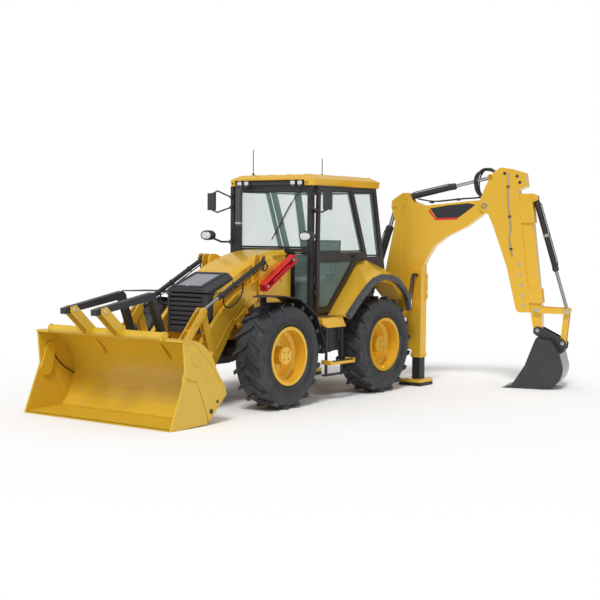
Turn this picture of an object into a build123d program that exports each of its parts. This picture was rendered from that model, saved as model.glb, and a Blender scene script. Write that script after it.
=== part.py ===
"""Backhoe loader with a four-in-one loader bucket and a sideshift backhoe, in millimetres.

Laid out with +X forward, +Y to the left and +Z up, from the ground under the rear axle. The finished
pieces are moved together at the end, so that the origin is the middle of the footprint on the ground.
The backhoe is drawn on one upright plane through its swing axis, u outward and v up.
"""
from build123d import *
import os
from math import cos, hypot, radians, sin

# ---------------------------------------------------------------- running gear
WHEELBASE = 2200
TYRE_R = 670
TYRE_WIDTH = 420
TRACK_HALF = 945
RIM_R = 350
RIM_FLANGE_R = 372
RIM_WALL = 20
LUG_COUNT = 18
LUG_HEIGHT = 34
LUG_WIDTH = 50
HUB_R = 118
SPINDLE_R = 60
PIN_PLAY = 0.3
BOLTED = 0.3
KINGPIN_Y = 620
KINGPIN_R = 30
AXLE_Z = TYRE_R

# ---------------------------------------------------------------- frame
RAIL_INNER = 280
RAIL_OUTER = 360
RAIL_LOW = 850
RAIL_TOP = 1040
FRAME_FRONT = 2740
FRAME_REAR = -960
TIE_DOWN_Y, TIE_DOWN_Z, TIE_DOWN_R = 700, 580, 30

# ---------------------------------------------------------------- loader, side view points (x, z)
ARM_PIVOT = (1550, 1620)
BUCKET_PIN = (3400, 300)
LEVER_PIVOT = (3020, 720)
LEVER_TOP = (3200, 1250)
LINK_END = (BUCKET_PIN[0] + LEVER_TOP[0] - LEVER_PIVOT[0], BUCKET_PIN[1] + LEVER_TOP[1] - LEVER_PIVOT[1])
TILT_BASE = (1934, 1865)
LIFT_BASE = (1250, 700)
LIFT_EYE = (2400, 1045)
CROSS_TUBE = (3050, 550)
ARM_IN, ARM_OUT = 410, 475
TOWER_IN, TOWER_OUT = 482, 500
LINK_PLATES = ((482, 498), (566, 582))
LEVER_PLATES = ((500, 508), (556, 564))
TILT_Y = 533
LIFT_Y = 441

# ---------------------------------------------------------------- loader bucket, side view points (x, z)
BUCKET_HALF = 1210
SIDE_PLATE = 25
CLAM_PIVOT = (4077, 780)
CLAM_ARC_R = 250
CLAM_GAP = 6
FORK_EYE = (4610, 1310)
FORK_Y = 250
FORK_WIDTH = 90
FORK_THICK = 45
TUBE_AXIS = (4285, 1040)

# ---------------------------------------------------------------- hood
HOOD_HALF = 345
HOOD_LOW = 1120
HOOD_REAR = 1212
HOOD_HINGE = (1225, 1925)
HOOD_SKIN = 22

# ---------------------------------------------------------------- cab
CAB_HALF = 700
CAB_FLOOR = 1100
CAB_ROOF_LOW = 2850
CAB_ROOF_TOP = 3000
POST = 60
DOOR_THICK = 35
GLASS = 6
SCREEN_LOW = 2000
SEAT_X = 100

# ---------------------------------------------------------------- backhoe, local points (u, v)
SWING_AXIS = (-1250, 100)
SWING_REST = 73.5
BOOM_FOOT = (300, 720)
BOOM_ROD_PIN = (360, 2640)
BOOM_CYL_BASE = (-60, 1240)
STICK_PIN = (1720, 2625)
STICK_CYL_BASE = (530, 2745)
STICK_EYE = (1800, 3040)
BUCKET_CYL_BASE = (2442, 2740)
HOE_LEVER_PIVOT = (2505, 1125)
HOE_LEVER_TOP = (2925, 1115)
HOE_BUCKET_PIN = (2520, 830)
HOE_LINK_PIN = (2880, 655)
BOOM_HALF = 100
STICK_HALF = 130
SLIDE_HALF = 95
SLIDE_TOP, SLIDE_LOW = (2210, 2850), (2410, 1100)
SLIDE_PLAY = 0.3
EXTENSION_DEPTH = 165
BOOM_SLOT = 62
HOE_BUCKET_HALF = 310
POST_LOW, POST_TOP = 520, 1080

# ---------------------------------------------------------------- stabilisers
LEG_X = -1045
LEG_Y = 1045
COLUMN_X, COLUMN_Y = 160, 150
COLUMN_WALL = 10
COLUMN_NEAR = LEG_Y - COLUMN_Y / 2
COLLAR = 8
COLUMN_LOW, COLUMN_TOP = 410, 1745
LEG_PLAY = 0.3
SHIFT_PLAY = 0.3

HOE = Plane(
    origin=(SWING_AXIS[0], SWING_AXIS[1], 0),
    x_dir=(-cos(radians(SWING_REST)), sin(radians(SWING_REST)), 0),
    z_dir=(sin(radians(SWING_REST)), cos(radians(SWING_REST)), 0),
)
pieces = {}


def side(y):
    """Upright fore-and-aft plane at the given y; positive extrusions from it run to the right."""
    return Plane.XZ.offset(-y)


def prism(plane, points, depth, mode=Mode.ADD):
    """Straight-sided plate of the given outline, raised from a plane."""
    with BuildSketch(plane) as profile:
        Polygon(*points, align=None)
    extrude(profile.sketch, amount=depth, dir=plane.z_dir, mode=mode)


def disc(plane, centre, radius, depth, mode=Mode.ADD):
    """Round bar or bore raised from a plane."""
    with BuildSketch(plane) as profile:
        with Locations(centre):
            Circle(radius)
    extrude(profile.sketch, amount=depth, dir=plane.z_dir, mode=mode)


def slab(points, y_from, y_to, mode=Mode.ADD):
    """Straight-sided plate in side view, between two y values."""
    prism(side(y_to), points, y_to - y_from, mode)


def bar(centre, radius, y_from, y_to, mode=Mode.ADD):
    """Round bar or bore along Y."""
    disc(side(y_to), centre, radius, y_to - y_from, mode)


def block(x, y, z, mode=Mode.ADD):
    """Box between pairs of limits."""
    corners = [(x[0], y[0]), (x[1], y[0]), (x[1], y[1]), (x[0], y[1])]
    prism(Plane.XY.offset(z[0]), corners, z[1] - z[0], mode)


def post(centre, radius, z_from, z_to, mode=Mode.ADD):
    """Upright round bar or bore."""
    disc(Plane.XY.offset(z_from), centre, radius, z_to - z_from, mode)


def hoe_slab(points, w_from, w_to, mode=Mode.ADD):
    """Straight-sided plate on the backhoe's plane, between two offsets from it."""
    prism(HOE.offset(w_from), points, w_to - w_from, mode)


def hoe_bar(centre, radius, w_from, w_to, mode=Mode.ADD):
    """Round bar or bore square to the backhoe's plane."""
    disc(HOE.offset(w_from), centre, radius, w_to - w_from, mode)


def across(plane, start, end, distance):
    """Plane square to a line from start to end on a drawing plane, at a distance from its start."""
    share = distance / span(start, end)
    at = (start[0] + share * (end[0] - start[0]), start[1] + share * (end[1] - start[1]))
    heading = plane.from_local_coords(Vector(end[0], end[1], 0)) - plane.from_local_coords(Vector(start[0],
                                                                                                  start[1], 0))
    return Plane(origin=plane.from_local_coords(Vector(at[0], at[1], 0)), z_dir=heading)


def barrel(plane, start, end, radius, bore, length, eye_width, eye_radius, pin_radius):
    """Cylinder barrel: a bored eye at its base pin, a tube and a gland collar, open at the rod's end."""
    disc(plane.offset(-eye_width / 2), start, eye_radius, eye_width)
    disc(across(plane, start, end, eye_radius * 0.7), (0, 0), radius, length - eye_radius * 0.7)
    disc(across(plane, start, end, length - 60), (0, 0), radius + 3, 60)
    disc(across(plane, start, end, eye_radius + 5), (0, 0), bore, length, Mode.SUBTRACT)
    disc(plane.offset(-radius - 10), start, pin_radius + PIN_PLAY, 2 * radius + 20, Mode.SUBTRACT)


def rod(plane, start, end, radius, inside, eye_width, eye_radius):
    """Piston rod from inside the barrel to an eye at its far pin."""
    disc(across(plane, start, end, inside), (0, 0), radius, span(start, end) - inside)
    disc(plane.offset(-eye_width / 2), end, eye_radius, eye_width)


def span(a, b):
    """Distance between two points."""
    return hypot(b[0] - a[0], b[1] - a[1])


# ================================================================ wheels
with BuildPart() as lug:
    reach = 95
    prism(Plane.YZ.offset(TYRE_R - LUG_HEIGHT - 18), [
        (-reach, -8),
        (LUG_WIDTH - reach, -8),
        (reach, TYRE_WIDTH / 2 - 12),
        (reach - LUG_WIDTH, TYRE_WIDTH / 2 - 12),
    ], LUG_HEIGHT + 11)

with BuildPart() as tyre:
    shoulder = TYRE_WIDTH / 2
    with BuildSketch(Plane.XZ):
        Polygon(*[
            (RIM_R + 0.3, -shoulder + 46),
            (RIM_FLANGE_R + 3, -shoulder + 46),
            (RIM_R + 60, -shoulder + 8),
            (TYRE_R - 130, -shoulder),
            (TYRE_R - LUG_HEIGHT - 18, -shoulder + 26),
            (TYRE_R - LUG_HEIGHT, -shoulder + 90),
            (TYRE_R - LUG_HEIGHT, shoulder - 90),
            (TYRE_R - LUG_HEIGHT - 18, shoulder - 26),
            (TYRE_R - 130, shoulder),
            (RIM_R + 60, shoulder - 8),
            (RIM_FLANGE_R + 3, shoulder - 46),
            (RIM_R + 0.3, shoulder - 46),
            (RIM_R + 0.3, shoulder - 70),
            (TYRE_R - 150, shoulder - 60),
            (TYRE_R - 150, -shoulder + 60),
            (RIM_R + 0.3, -shoulder + 70),
        ], align=None)
    revolve(axis=Axis.Z)
    with PolarLocations(0, LUG_COUNT):
        add(lug.part)
    with PolarLocations(0, LUG_COUNT, start_angle=180 / LUG_COUNT):
        add(mirror(lug.part, about=Plane.XY, mode=Mode.PRIVATE))

with BuildPart() as rim:
    half = TYRE_WIDTH / 2 - 22
    with BuildSketch(Plane.XZ):
        Polygon(*[
            (RIM_R - RIM_WALL, -half),
            (RIM_FLANGE_R, -half),
            (RIM_FLANGE_R, -half + 16),
            (RIM_R, -half + 20),
            (RIM_R, half - 20),
            (RIM_FLANGE_R, half - 16),
            (RIM_FLANGE_R, half),
            (RIM_R - RIM_WALL, half),
            (RIM_R - RIM_WALL, 30),
            (RIM_R - 70, 5),
            (HUB_R, 5),
            (HUB_R, 110),
            (HUB_R - 14, 122),
            (0, 122),
            (0, 15),
            (SPINDLE_R + PIN_PLAY, 15),
            (SPINDLE_R + PIN_PLAY, -60),
            (HUB_R + 20, -60),
            (HUB_R + 20, -15),
            (RIM_R - 62, -15),
            (RIM_R - RIM_WALL, 8),
        ], align=None)
    revolve(axis=Axis.Z)
    with BuildSketch(Plane.XY.offset(110)):
        with PolarLocations(HUB_R * 0.55, 4):
            Circle(11)
    extrude(amount=12, mode=Mode.SUBTRACT)

with BuildPart() as knuckle:
    # Kingpin boss, kingpin, final drive housing and spindle, drawn at the wheel's own y and z.
    post((0, KINGPIN_Y), 62, AXLE_Z - 85, AXLE_Z + 85)
    post((0, KINGPIN_Y), KINGPIN_R, AXLE_Z - 128, AXLE_Z + 128)
    bar((0, AXLE_Z), 75, KINGPIN_Y + 20, KINGPIN_Y + 90)
    bar((0, AXLE_Z), 135, KINGPIN_Y + 75, TRACK_HALF - 75)
    bar((0, AXLE_Z), SPINDLE_R, TRACK_HALF - 90, TRACK_HALF + 10)

# Front fender in side view from the wheel's centre: x ahead of it and z above the ground.
FENDER_LINE = [(660, 1432), (160, 1425), (-180, 1378), (-540, 1165), (-740, 780)]
FENDER_THICK = 12
FENDER_IN, FENDER_OUT = 790, 1150
with BuildPart() as knuckle_with_fender:
    add(knuckle.part)
    slab(FENDER_LINE + [(x - 6, z + FENDER_THICK) for x, z in reversed(FENDER_LINE)], FENDER_IN, FENDER_OUT)
    # The inner front corner is cut on the slant, so that it clears the lift arms on full lock.
    prism(Plane.XY.offset(1300), [(240, FENDER_IN - 5), (700, FENDER_IN - 5), (700, 1080)], 300,
          Mode.SUBTRACT)
    # Stay from the knuckle up beside the tyre and out under the fender.
    slab([(-60, AXLE_Z + 100), (60, AXLE_Z + 100), (60, 1425), (-60, 1410)], 698, 710)
    slab([(-60, 1393), (60, 1408), (60, 1424), (-60, 1409)], 698, FENDER_IN + 60)

# name, wheel centre x, knuckle; the front ones carry fenders
AXLES = (("front", WHEELBASE, knuckle_with_fender.part), ("rear", 0, knuckle.part))
for axle, axle_x, knuckle_part in AXLES:
    with BuildPart(Plane(origin=(axle_x, TRACK_HALF, AXLE_Z), x_dir=(1, 0, 0), z_dir=(0, 1, 0))) as tyre_left:
        add(tyre.part)
    with BuildPart(Plane(origin=(axle_x, TRACK_HALF, AXLE_Z), x_dir=(1, 0, 0), z_dir=(0, 1, 0))) as rim_left:
        add(rim.part)
    with BuildPart(Plane.XY.move(Location((axle_x, 0, 0)))) as knuckle_left:
        add(knuckle_part)
    pieces[f"tyre_{axle}_left"] = tyre_left.part
    pieces[f"rim_{axle}_left"] = rim_left.part
    pieces[f"knuckle_{axle}_left"] = knuckle_left.part
    pieces[f"tyre_{axle}_right"] = mirror(tyre_left.part, about=Plane.XZ)
    pieces[f"rim_{axle}_right"] = mirror(rim_left.part, about=Plane.XZ)
    pieces[f"knuckle_{axle}_right"] = mirror(knuckle_left.part, about=Plane.XZ)

with BuildPart() as axle_beams:
    for axle, axle_x, knuckle_part in AXLES:
        with BuildSketch(side(KINGPIN_Y - 75)):
            with Locations((axle_x, AXLE_Z)):
                RectangleRounded(170, 180, 40)
        extrude(amount=2 * (KINGPIN_Y - 75))
        with BuildSketch(Plane.YZ.offset(axle_x - 190)):
            with Locations((0, AXLE_Z)):
                Circle(165)
        extrude(amount=380)
        for way in (1, -1):
            # Yoke ears above and below the kingpin boss, joined to the beam's end.
            near, far = sorted((way * (KINGPIN_Y - 130), way * KINGPIN_Y))
            for low in (AXLE_Z - 128, AXLE_Z + 90):
                post((axle_x, way * KINGPIN_Y), 58, low, low + 38)
                block((axle_x - 58, axle_x + 58), (near, far), (low, low + 38))
            block((axle_x - 58, axle_x + 58), sorted((way * (KINGPIN_Y - 130), way * (KINGPIN_Y - 72))),
                  (AXLE_Z - 128, AXLE_Z + 128))
            post((axle_x, way * KINGPIN_Y), KINGPIN_R + PIN_PLAY, AXLE_Z - 140, AXLE_Z + 140, Mode.SUBTRACT)
            # Pads that bolt the beam to the rails.
            block((axle_x - 70, axle_x + 70), sorted((way * RAIL_INNER, way * RAIL_OUTER)),
                  (AXLE_Z + 60, RAIL_LOW))
pieces["axle_beams"] = axle_beams.part


# ================================================================ main frame and loader tower
TOWER = [(1360, 960), (1360, 1730), (1450, 1770), (1880, 1925), (1975, 1925), (2000, 1860), (2040, 1470),
         (1990, 1130), (1720, 960)]
TOWER_SKIN = [(1360, 1310), (1360, 1730), (1450, 1770), (1880, 1925), (1975, 1925), (2000, 1860),
              (2040, 1470),
              (1990, 1310)]
with BuildPart() as main_frame:
    for way in (1, -1):
        block((FRAME_REAR, FRAME_FRONT), sorted((way * RAIL_INNER, way * RAIL_OUTER)), (RAIL_LOW, RAIL_TOP))
    for x_from, x_to in ((FRAME_REAR, -880), (600, 680), (2690, FRAME_FRONT)):
        block((x_from, x_to), (-RAIL_INNER, RAIL_INNER), (RAIL_LOW, RAIL_TOP))
    # Front cross plate below the grille, and the lower side panels that stand on the rails under the hood.
    block((FRAME_FRONT, FRAME_FRONT + 30), (-RAIL_OUTER, RAIL_OUTER), (640, 945))
    for way in (1, -1):
        block((1220, 2720), sorted((way * 318, way * 340)), (RAIL_TOP, HOOD_LOW - 8))
        inner = sorted((way * RAIL_OUTER, way * (ARM_IN - 10)))
        slab(TOWER, *inner)
        slab(TOWER_SKIN, *sorted((way * TOWER_IN, way * TOWER_OUT)))
        # Rear web between the two tower plates.
        block((1360, 1400), sorted((way * (ARM_IN - 10), way * TOWER_IN)), (1310, 1730))
        # Arm pivot pin, fixed in both plates.
        bar(ARM_PIVOT, 45, *sorted((way * (ARM_IN - 20), way * (TOWER_OUT + 14))))
        # Outboard ear and pin for the tilt cylinder.
        slab([(1880, 1780), (1850, 1900), (1900, 1930), (1970, 1925), (2000, 1870), (1960, 1800)],
             *sorted((way * 566, way * 582)))
        block((1850, 1872), sorted((way * TOWER_OUT, way * 582)), (1800, 1905))
        bar(TILT_BASE, 22, *sorted((way * TOWER_IN, way * 590)))
        # Ears and pin for the lift cylinder, hung from the rail.
        for near, far in ((RAIL_OUTER, 398), (484, 500)):
            slab([(1150, 860), (1150, 640), (1260, 645), (1300, 690), (1290, 750), (1200, 870)],
                 *sorted((way * near, way * far)))
        block((1150, 1185), sorted((way * 398, way * 484)), (640, 860))
        bar(LIFT_BASE, 24, *sorted((way * 380, way * 512)))
    # Rear slide frame: two cross beams between the stabiliser columns, and their end plates.
    for low, high in ((520, 640), (980, 1100)):
        block((-1050, FRAME_REAR - BOLTED), (BOLTED - COLUMN_NEAR, COLUMN_NEAR - BOLTED), (low, high))
    # Tie-down holes through the lower beam.
    with BuildSketch(Plane.YZ.offset(-1060)) as holes:
        with Locations((-TIE_DOWN_Y, TIE_DOWN_Z), (TIE_DOWN_Y, TIE_DOWN_Z)):
            Circle(TIE_DOWN_R)
    extrude(holes.sketch, amount=110, dir=(1, 0, 0), mode=Mode.SUBTRACT)
    for way in (1, -1):
        block((-1050, FRAME_REAR - BOLTED), sorted((way * RAIL_INNER, way * RAIL_OUTER)), (640, 980))
        block((-1050, FRAME_REAR - BOLTED), sorted((way * 880, way * (COLUMN_NEAR - BOLTED))), (640, 980))
    # Stabiliser columns: square tubes, open below, with a stiff collar round the foot.
    for way in (1, -1):
        near, far = sorted((way * COLUMN_NEAR, way * (COLUMN_NEAR + COLUMN_Y)))
        x_near, x_far = LEG_X - COLUMN_X / 2, LEG_X + COLUMN_X / 2
        block((x_near, x_far), (near, far), (COLUMN_LOW, COLUMN_TOP))
        block((x_near - COLLAR, x_far + COLLAR), (near - COLLAR, far + COLLAR), (COLUMN_LOW, COLUMN_LOW + 60))
        block((x_near + COLUMN_WALL, x_far - COLUMN_WALL), (near + COLUMN_WALL, far - COLUMN_WALL),
              (COLUMN_LOW - 5, COLUMN_TOP - 12), Mode.SUBTRACT)
pieces["main_frame"] = main_frame.part

for label, way in (("left", 1), ("right", -1)):
    with BuildPart() as leg:
        half_x = COLUMN_X / 2 - COLUMN_WALL - LEG_PLAY
        half_y = COLUMN_Y / 2 - COLUMN_WALL - LEG_PLAY
        block((LEG_X - half_x, LEG_X + half_x), sorted((way * (LEG_Y - half_y), way * (LEG_Y + half_y))),
              (120, 1400))
        block((LEG_X - 175, LEG_X + 175), sorted((way * (LEG_Y - 215), way * (LEG_Y + 135))), (50, 90))
        block((LEG_X - 175, LEG_X + 175), sorted((way * (LEG_Y - 215), way * (LEG_Y + 135))), (2, 50))
        for x_side in (-1, 1):
            slab([(LEG_X + x_side * 120, 90), (LEG_X + x_side * half_x, 200), (LEG_X + x_side * half_x, 90)],
                 *sorted((way * (LEG_Y - 12), way * (LEG_Y + 12))))
        block((LEG_X - half_x, LEG_X + half_x), sorted((way * (LEG_Y - half_y), way * (LEG_Y + half_y))),
              (90, 120))
    pieces[f"stabiliser_leg_{label}"] = leg.part

with BuildPart() as engine:
    block((1560, 2500), (-RAIL_INNER + 15, RAIL_INNER - 15), (880, 1400))
    block((900, 1360), (-200, 200), (700, 1020))
    block((1350, 1570), (-120, 120), (880, 1000))
    block((2500, 2640), (-60, 60), (1050, 1250))
    block((2640, 2690), (-RAIL_INNER + 5, RAIL_INNER - 5), (950, 1420))
    disc(Plane.YZ.offset(190.3), (0, AXLE_Z + 60), 40, 740)
    disc(Plane.YZ.offset(1340), (0, AXLE_Z + 60), 40, WHEELBASE - 190.3 - 1340)
    # Mounts on the rails.
    for way in (1, -1):
        for x, near in ((1700, 260), (2300, 260), (1000, 190), (1250, 190)):
            block((x, x + 60), sorted((way * near, way * (RAIL_INNER - 0.3))), (900, 980))
pieces["engine_block"] = engine.part

# ================================================================ hood and grille
with BuildPart() as bonnet:
    with BuildSketch(side(HOOD_HALF)) as hood_side:
        with BuildLine():
            Polyline((2890, 1514), (2890, 1462), (2745, 1440), (2745, HOOD_LOW), (HOOD_REAR, HOOD_LOW),
                     (HOOD_REAR, 1985))
            ThreePointArc((HOOD_REAR, 1985), (1820, 1905), (2380, 1697))
            Line((2380, 1697), (2890, 1514))
        make_face()
    extrude(amount=2 * HOOD_HALF)
    tops = bonnet.edges().filter_by(lambda e: e.center().Z > 1520 and abs(abs(e.center().Y) - HOOD_HALF) < 1)
    chamfer(tops, 70, 55)
    inner_half = HOOD_HALF - HOOD_SKIN
    # Hollow inside, stepped in under the chamfered edges.
    slab([(2722, 1425), (2722, HOOD_LOW - 10), (HOOD_REAR - 10, HOOD_LOW - 10), (HOOD_REAR - 10, 1968),
          (1820, 1870), (2380, 1660), (2850, 1495), (2850,
                                                     1470)], -inner_half + 50, inner_half - 50, Mode.SUBTRACT)
    slab([(2722, 1425), (2722, HOOD_LOW - 10), (HOOD_REAR - 10, HOOD_LOW - 10), (HOOD_REAR - 10, 1890),
          (1820, 1800), (2380, 1600), (2722, 1470)], -inner_half, inner_half, Mode.SUBTRACT)

NOSE = [(2380, 1800), (2380, 1610), (2722, 1462), (2722, 1441), (2735, 1425), (2900, 1425), (2900, 1800)]
with BuildPart() as hood:
    add(bonnet.part)
    slab(NOSE, -400, 400, Mode.SUBTRACT)
    # Bar and knuckles of the rear hinge.
    bar(HOOD_HINGE, 14, -inner_half - 5, inner_half + 5)
with BuildPart() as hood_nose:
    add(bonnet.part)
    slab(NOSE, -400, 400, Mode.INTERSECT)
pieces["hood"] = hood.part
pieces["hood_nose"] = hood_nose.part

RIB_COUNT = 7
GRILLE_LOW, GRILLE_TOP = 945.3, 1440.5
with BuildPart() as grille:
    # Surround with chamfered upright corners, open in front of the radiator.
    corners = [(2752, -340), (2850, -340), (2890, -300), (2890, 300), (2850, 340), (2752, 340)]
    prism(Plane.XY.offset(GRILLE_LOW), corners, GRILLE_TOP - GRILLE_LOW)
    block((2740, 2850), (-290, 290), (GRILLE_LOW - 5, GRILLE_TOP + 5), Mode.SUBTRACT)
    block((2840, 2900), (-270, 270), (985, 1412), Mode.SUBTRACT)
    for index in range(RIB_COUNT):
        low = 990 + index * 60
        slab([(2845, low + 26), (2884, low), (2884, low + 28), (2845, low + 54)], -272, 272)
pieces["grille"] = grille.part

# ================================================================ cab
DOOR_HINGE = (1112, 722.5)
HINGE_HEIGHTS = (1400, 2500)
A_POST = [(1100, 1130), (1170, 1130), (1170, 2850), (1100, 2850)]
B_POST = [(-115, 1860), (-185, 1860), (215, 2850), (285, 2850)]
C_POST = [(-560, 1705), (-640, 1705), (-390, 2850), (-310, 2850)]
with BuildPart() as cab_shell:
    # Floor: narrow between the rear wheels, full width at the doors.
    block((-640, 800), (-490, 490), (CAB_FLOOR, CAB_FLOOR + 30))
    block((800, 1170), (-CAB_HALF, CAB_HALF), (CAB_FLOOR, CAB_FLOOR + 30))
    for way in (1, -1):
        outer = sorted((way * (CAB_HALF - POST), way * CAB_HALF))
        slab(A_POST, *outer)
        slab(B_POST, *outer)
        slab(C_POST, *outer)
        # Wheel housing: upright wall, sloping shelf over the tyre and upper side below the quarter window.
        slab([(-640, CAB_FLOOR), (800, CAB_FLOOR), (800, 1130), (110, 1810), (-110, 1860), (-640, 1705)],
             *sorted((way * 470, way * 490)))
        slab([(800, 1105), (800, 1130), (110, 1810), (-110, 1860), (-640, 1705), (-640, 1685), (-112, 1838),
              (100, 1790)],
             *sorted((way * 490, way * CAB_HALF)))
        slab([(-600, 1880), (-107, 1880), (-115, 1860), (110, 1800), (-110, 1840), (-560, 1705),
              (-640, 1705)],
             *sorted((way * (CAB_HALF - 30), way * CAB_HALF)))
        # Door hinge lugs and pins on the front post, and hood hinge lugs on the front wall.
        for low in HINGE_HEIGHTS:
            block((1100, DOOR_HINGE[0] + 14), sorted((way * CAB_HALF, way * (DOOR_HINGE[1] + 12))),
                  (low - 21, low - 1))
            post((DOOR_HINGE[0], way * DOOR_HINGE[1]), 8, low - 15, low + 44)
        bracket = sorted((way * 120, way * 140))
        slab([(1148, 1880), (HOOD_HINGE[0], 1901), (HOOD_HINGE[0] + 22, 1925), (HOOD_HINGE[0], 1946),
              (1148, 1930)], *bracket)
        bar(HOOD_HINGE, 14 + PIN_PLAY, bracket[0] - 1, bracket[1] + 1, Mode.SUBTRACT)
        # Head rail over the door and quarter window.
        slab([(-400, 2800), (1140, 2800), (1140, 2850), (-400, 2850)], *outer)
    # Cross members: rear sill, rear head, front head, scuttle and front wall.
    slab([(-640, CAB_FLOOR), (-610, CAB_FLOOR), (-590, 1760), (-640, 1705)], -490, 490)
    slab([(-640, 1705), (-560, 1705), (-540, 1800), (-619, 1800)], -CAB_HALF + 30, CAB_HALF - 30)
    slab([(-400, 2800), (-330, 2800), (-330, 2850), (-390, 2850)], -CAB_HALF + 30, CAB_HALF - 30)
    slab([(1090, 2790), (1150, 2790), (1150, 2850), (1090, 2850)], -CAB_HALF + 30, CAB_HALF - 30)
    slab([(1110, 1130), (1150, 1130), (1150, SCREEN_LOW), (1110, SCREEN_LOW)], -380, 380)
    slab([(1100, SCREEN_LOW - 50), (1165, SCREEN_LOW - 50), (1165, SCREEN_LOW), (1100, SCREEN_LOW)],
         -CAB_HALF + 30, CAB_HALF - 30)
    block((1110, 1160), (-CAB_HALF + 30, CAB_HALF - 30), (1130, 1250))
    # Rubber mounts between floor and rails.
    for x in (-500, 1000):
        for way in (1, -1):
            post((x, way * 320), 45, RAIL_TOP, CAB_FLOOR)
pieces["cab_shell"] = cab_shell.part

with BuildPart() as cab_glass:
    # Windscreen, two lower front panes, rear window and quarter windows.
    slab([(1130, SCREEN_LOW), (1136, SCREEN_LOW), (1136, 2790), (1130, 2790)], -CAB_HALF + POST,
         CAB_HALF - POST)
    for way in (1, -1):
        slab([(1130, 1250), (1136, 1250), (1136, SCREEN_LOW - 50), (1130, SCREEN_LOW - 50)],
             *sorted((way * 380, way * (CAB_HALF - POST))))
        slab([(-178, 1880.3), (-520, 1880.3), (-320, 2799.7), (193, 2799.7)],
             *sorted((way * (CAB_HALF - 20), way * (CAB_HALF - 20 + GLASS))))
    slab([(-583, 1800), (-577, 1800), (-358, 2800), (-364, 2800)], -CAB_HALF + POST, CAB_HALF - POST)
pieces["cab_glass"] = cab_glass.part

with BuildPart() as cab_roof:
    with BuildSketch(Plane.XY.offset(CAB_ROOF_LOW)) as low:
        with Locations((345, 0)):
            RectangleRounded(1690, 1420, 70)
    with BuildSketch(Plane.XY.offset(CAB_ROOF_LOW + 90)) as mid:
        with Locations((345, 0)):
            RectangleRounded(1720, 1450, 90)
    loft([low.sketch.face(), mid.sketch.face()])
    with BuildSketch(Plane.XY.offset(CAB_ROOF_TOP)) as high:
        with Locations((345, 0)):
            RectangleRounded(1500, 1230, 90)
    loft([mid.sketch.face(), high.sketch.face()])
    # Recess for the front lamp panel.
    block((1120, 1300), (-600, 600), (CAB_ROOF_LOW - 1, CAB_ROOF_LOW + 75), Mode.SUBTRACT)
pieces["cab_roof"] = cab_roof.part

with BuildPart() as work_lamps:
    block((1120, 1150), (-600, 600), (CAB_ROOF_LOW, CAB_ROOF_LOW + 74))
    for y in (-520, -400, 400, 520):
        block((1150, 1185), (y - 48, y + 48), (CAB_ROOF_LOW + 2, CAB_ROOF_LOW + 72))
    for way in (1, -1):
        block((-540, -450), sorted((way * 480, way * 580)), (CAB_ROOF_LOW - 60, CAB_ROOF_LOW))

with BuildPart() as antennas:
    post((1040, -400), 16, CAB_ROOF_TOP, CAB_ROOF_TOP + 30)
    post((1040, -400), 6, CAB_ROOF_TOP + 30, 3354)
    post((377, 300), 16, CAB_ROOF_TOP, CAB_ROOF_TOP + 30)
    post((377, 300), 6, CAB_ROOF_TOP + 30, 3250)

DOOR = [(1092, 1140), (790, 1140), (125, 1825), (-60, 1868), (-100, 1868), (290, 2845), (1072, 2845),
        (1092, 2000)]
DOOR_TOP_PANE = [(1040, 1950), (-20, 1950), (320, 2795), (1024, 2795), (1040, 2000)]
DOOR_LOW_PANE = [(1040, 1200), (820, 1200), (205, 1840), (1040, 1840)]
for label, way in (("left", 1), ("right", -1)):
    near, far = sorted((way * (CAB_HALF + 5), way * (CAB_HALF + 5 + DOOR_THICK)))
    glass = sorted((way * (CAB_HALF + 20), way * (CAB_HALF + 20 + GLASS)))
    with BuildPart() as door:
        slab(DOOR, near, far)
        slab(DOOR_TOP_PANE, near - 1, far + 1, Mode.SUBTRACT)
        slab(DOOR_LOW_PANE, near - 1, far + 1, Mode.SUBTRACT)
        # Handle bar and the two hinge barrels.
        handle = sorted((way * (CAB_HALF + 5 + DOOR_THICK), way * (CAB_HALF + 5 + DOOR_THICK + 40)))
        block((60, 90), handle, (1880, 1905))
        block((230, 260), handle, (1880, 1905))
        block((60, 260), sorted((way * (CAB_HALF + 65 + 5), way * (CAB_HALF + 65 + 25))), (1880, 1905))
        for low in HINGE_HEIGHTS:
            block((1085, DOOR_HINGE[0]), sorted((way * (DOOR_HINGE[1] - 8), way * (DOOR_HINGE[1] + 8))),
                  (low, low + 40))
            post((DOOR_HINGE[0], way * DOOR_HINGE[1]), 16, low, low + 40)
            post((DOOR_HINGE[0], way * DOOR_HINGE[1]), 8 + PIN_PLAY, low - 1, low + 41, Mode.SUBTRACT)
    pieces[f"door_{label}"] = door.part
    with BuildPart() as door_glass:
        slab(DOOR_TOP_PANE, *glass)
        slab(DOOR_LOW_PANE, *glass)
    pieces[f"door_glass_{label}"] = door_glass.part

with BuildPart() as cab_interior:
    # Dash and steering column in front, a console on each side of the seat.
    block((980, 1105), (-280, 280), (CAB_FLOOR + 30, 1720))
    slab([(980, 1560), (860, 1760), (890, 1790), (1010, 1640)], -45, 45)
    with BuildSketch(across(side(0), (920, 1680), (800, 1880), 110)) as ring:
        Circle(190)
        Circle(172, mode=Mode.SUBTRACT)
    extrude(ring.sketch, amount=18, dir=across(side(0), (920, 1680), (800, 1880), 110).z_dir)
    with BuildSketch(across(side(0), (920, 1680), (800, 1880), 110)) as spokes:
        Rectangle(350, 26)
        Rectangle(26, 350)
    extrude(spokes.sketch, amount=14, dir=across(side(0), (920, 1680), (800, 1880), 110).z_dir)
    disc(across(side(0), (920, 1680), (800, 1880), 40), (0, 0), 20, 90)
    for way in (1, -1):
        block((-330, 420), sorted((way * 400, way * 469.7)), (CAB_FLOOR + 30, 1650))
        post((-250, way * 435), 12, 1650, 1850)
        post((330, way * 435), 12, 1650, 1800)
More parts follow.
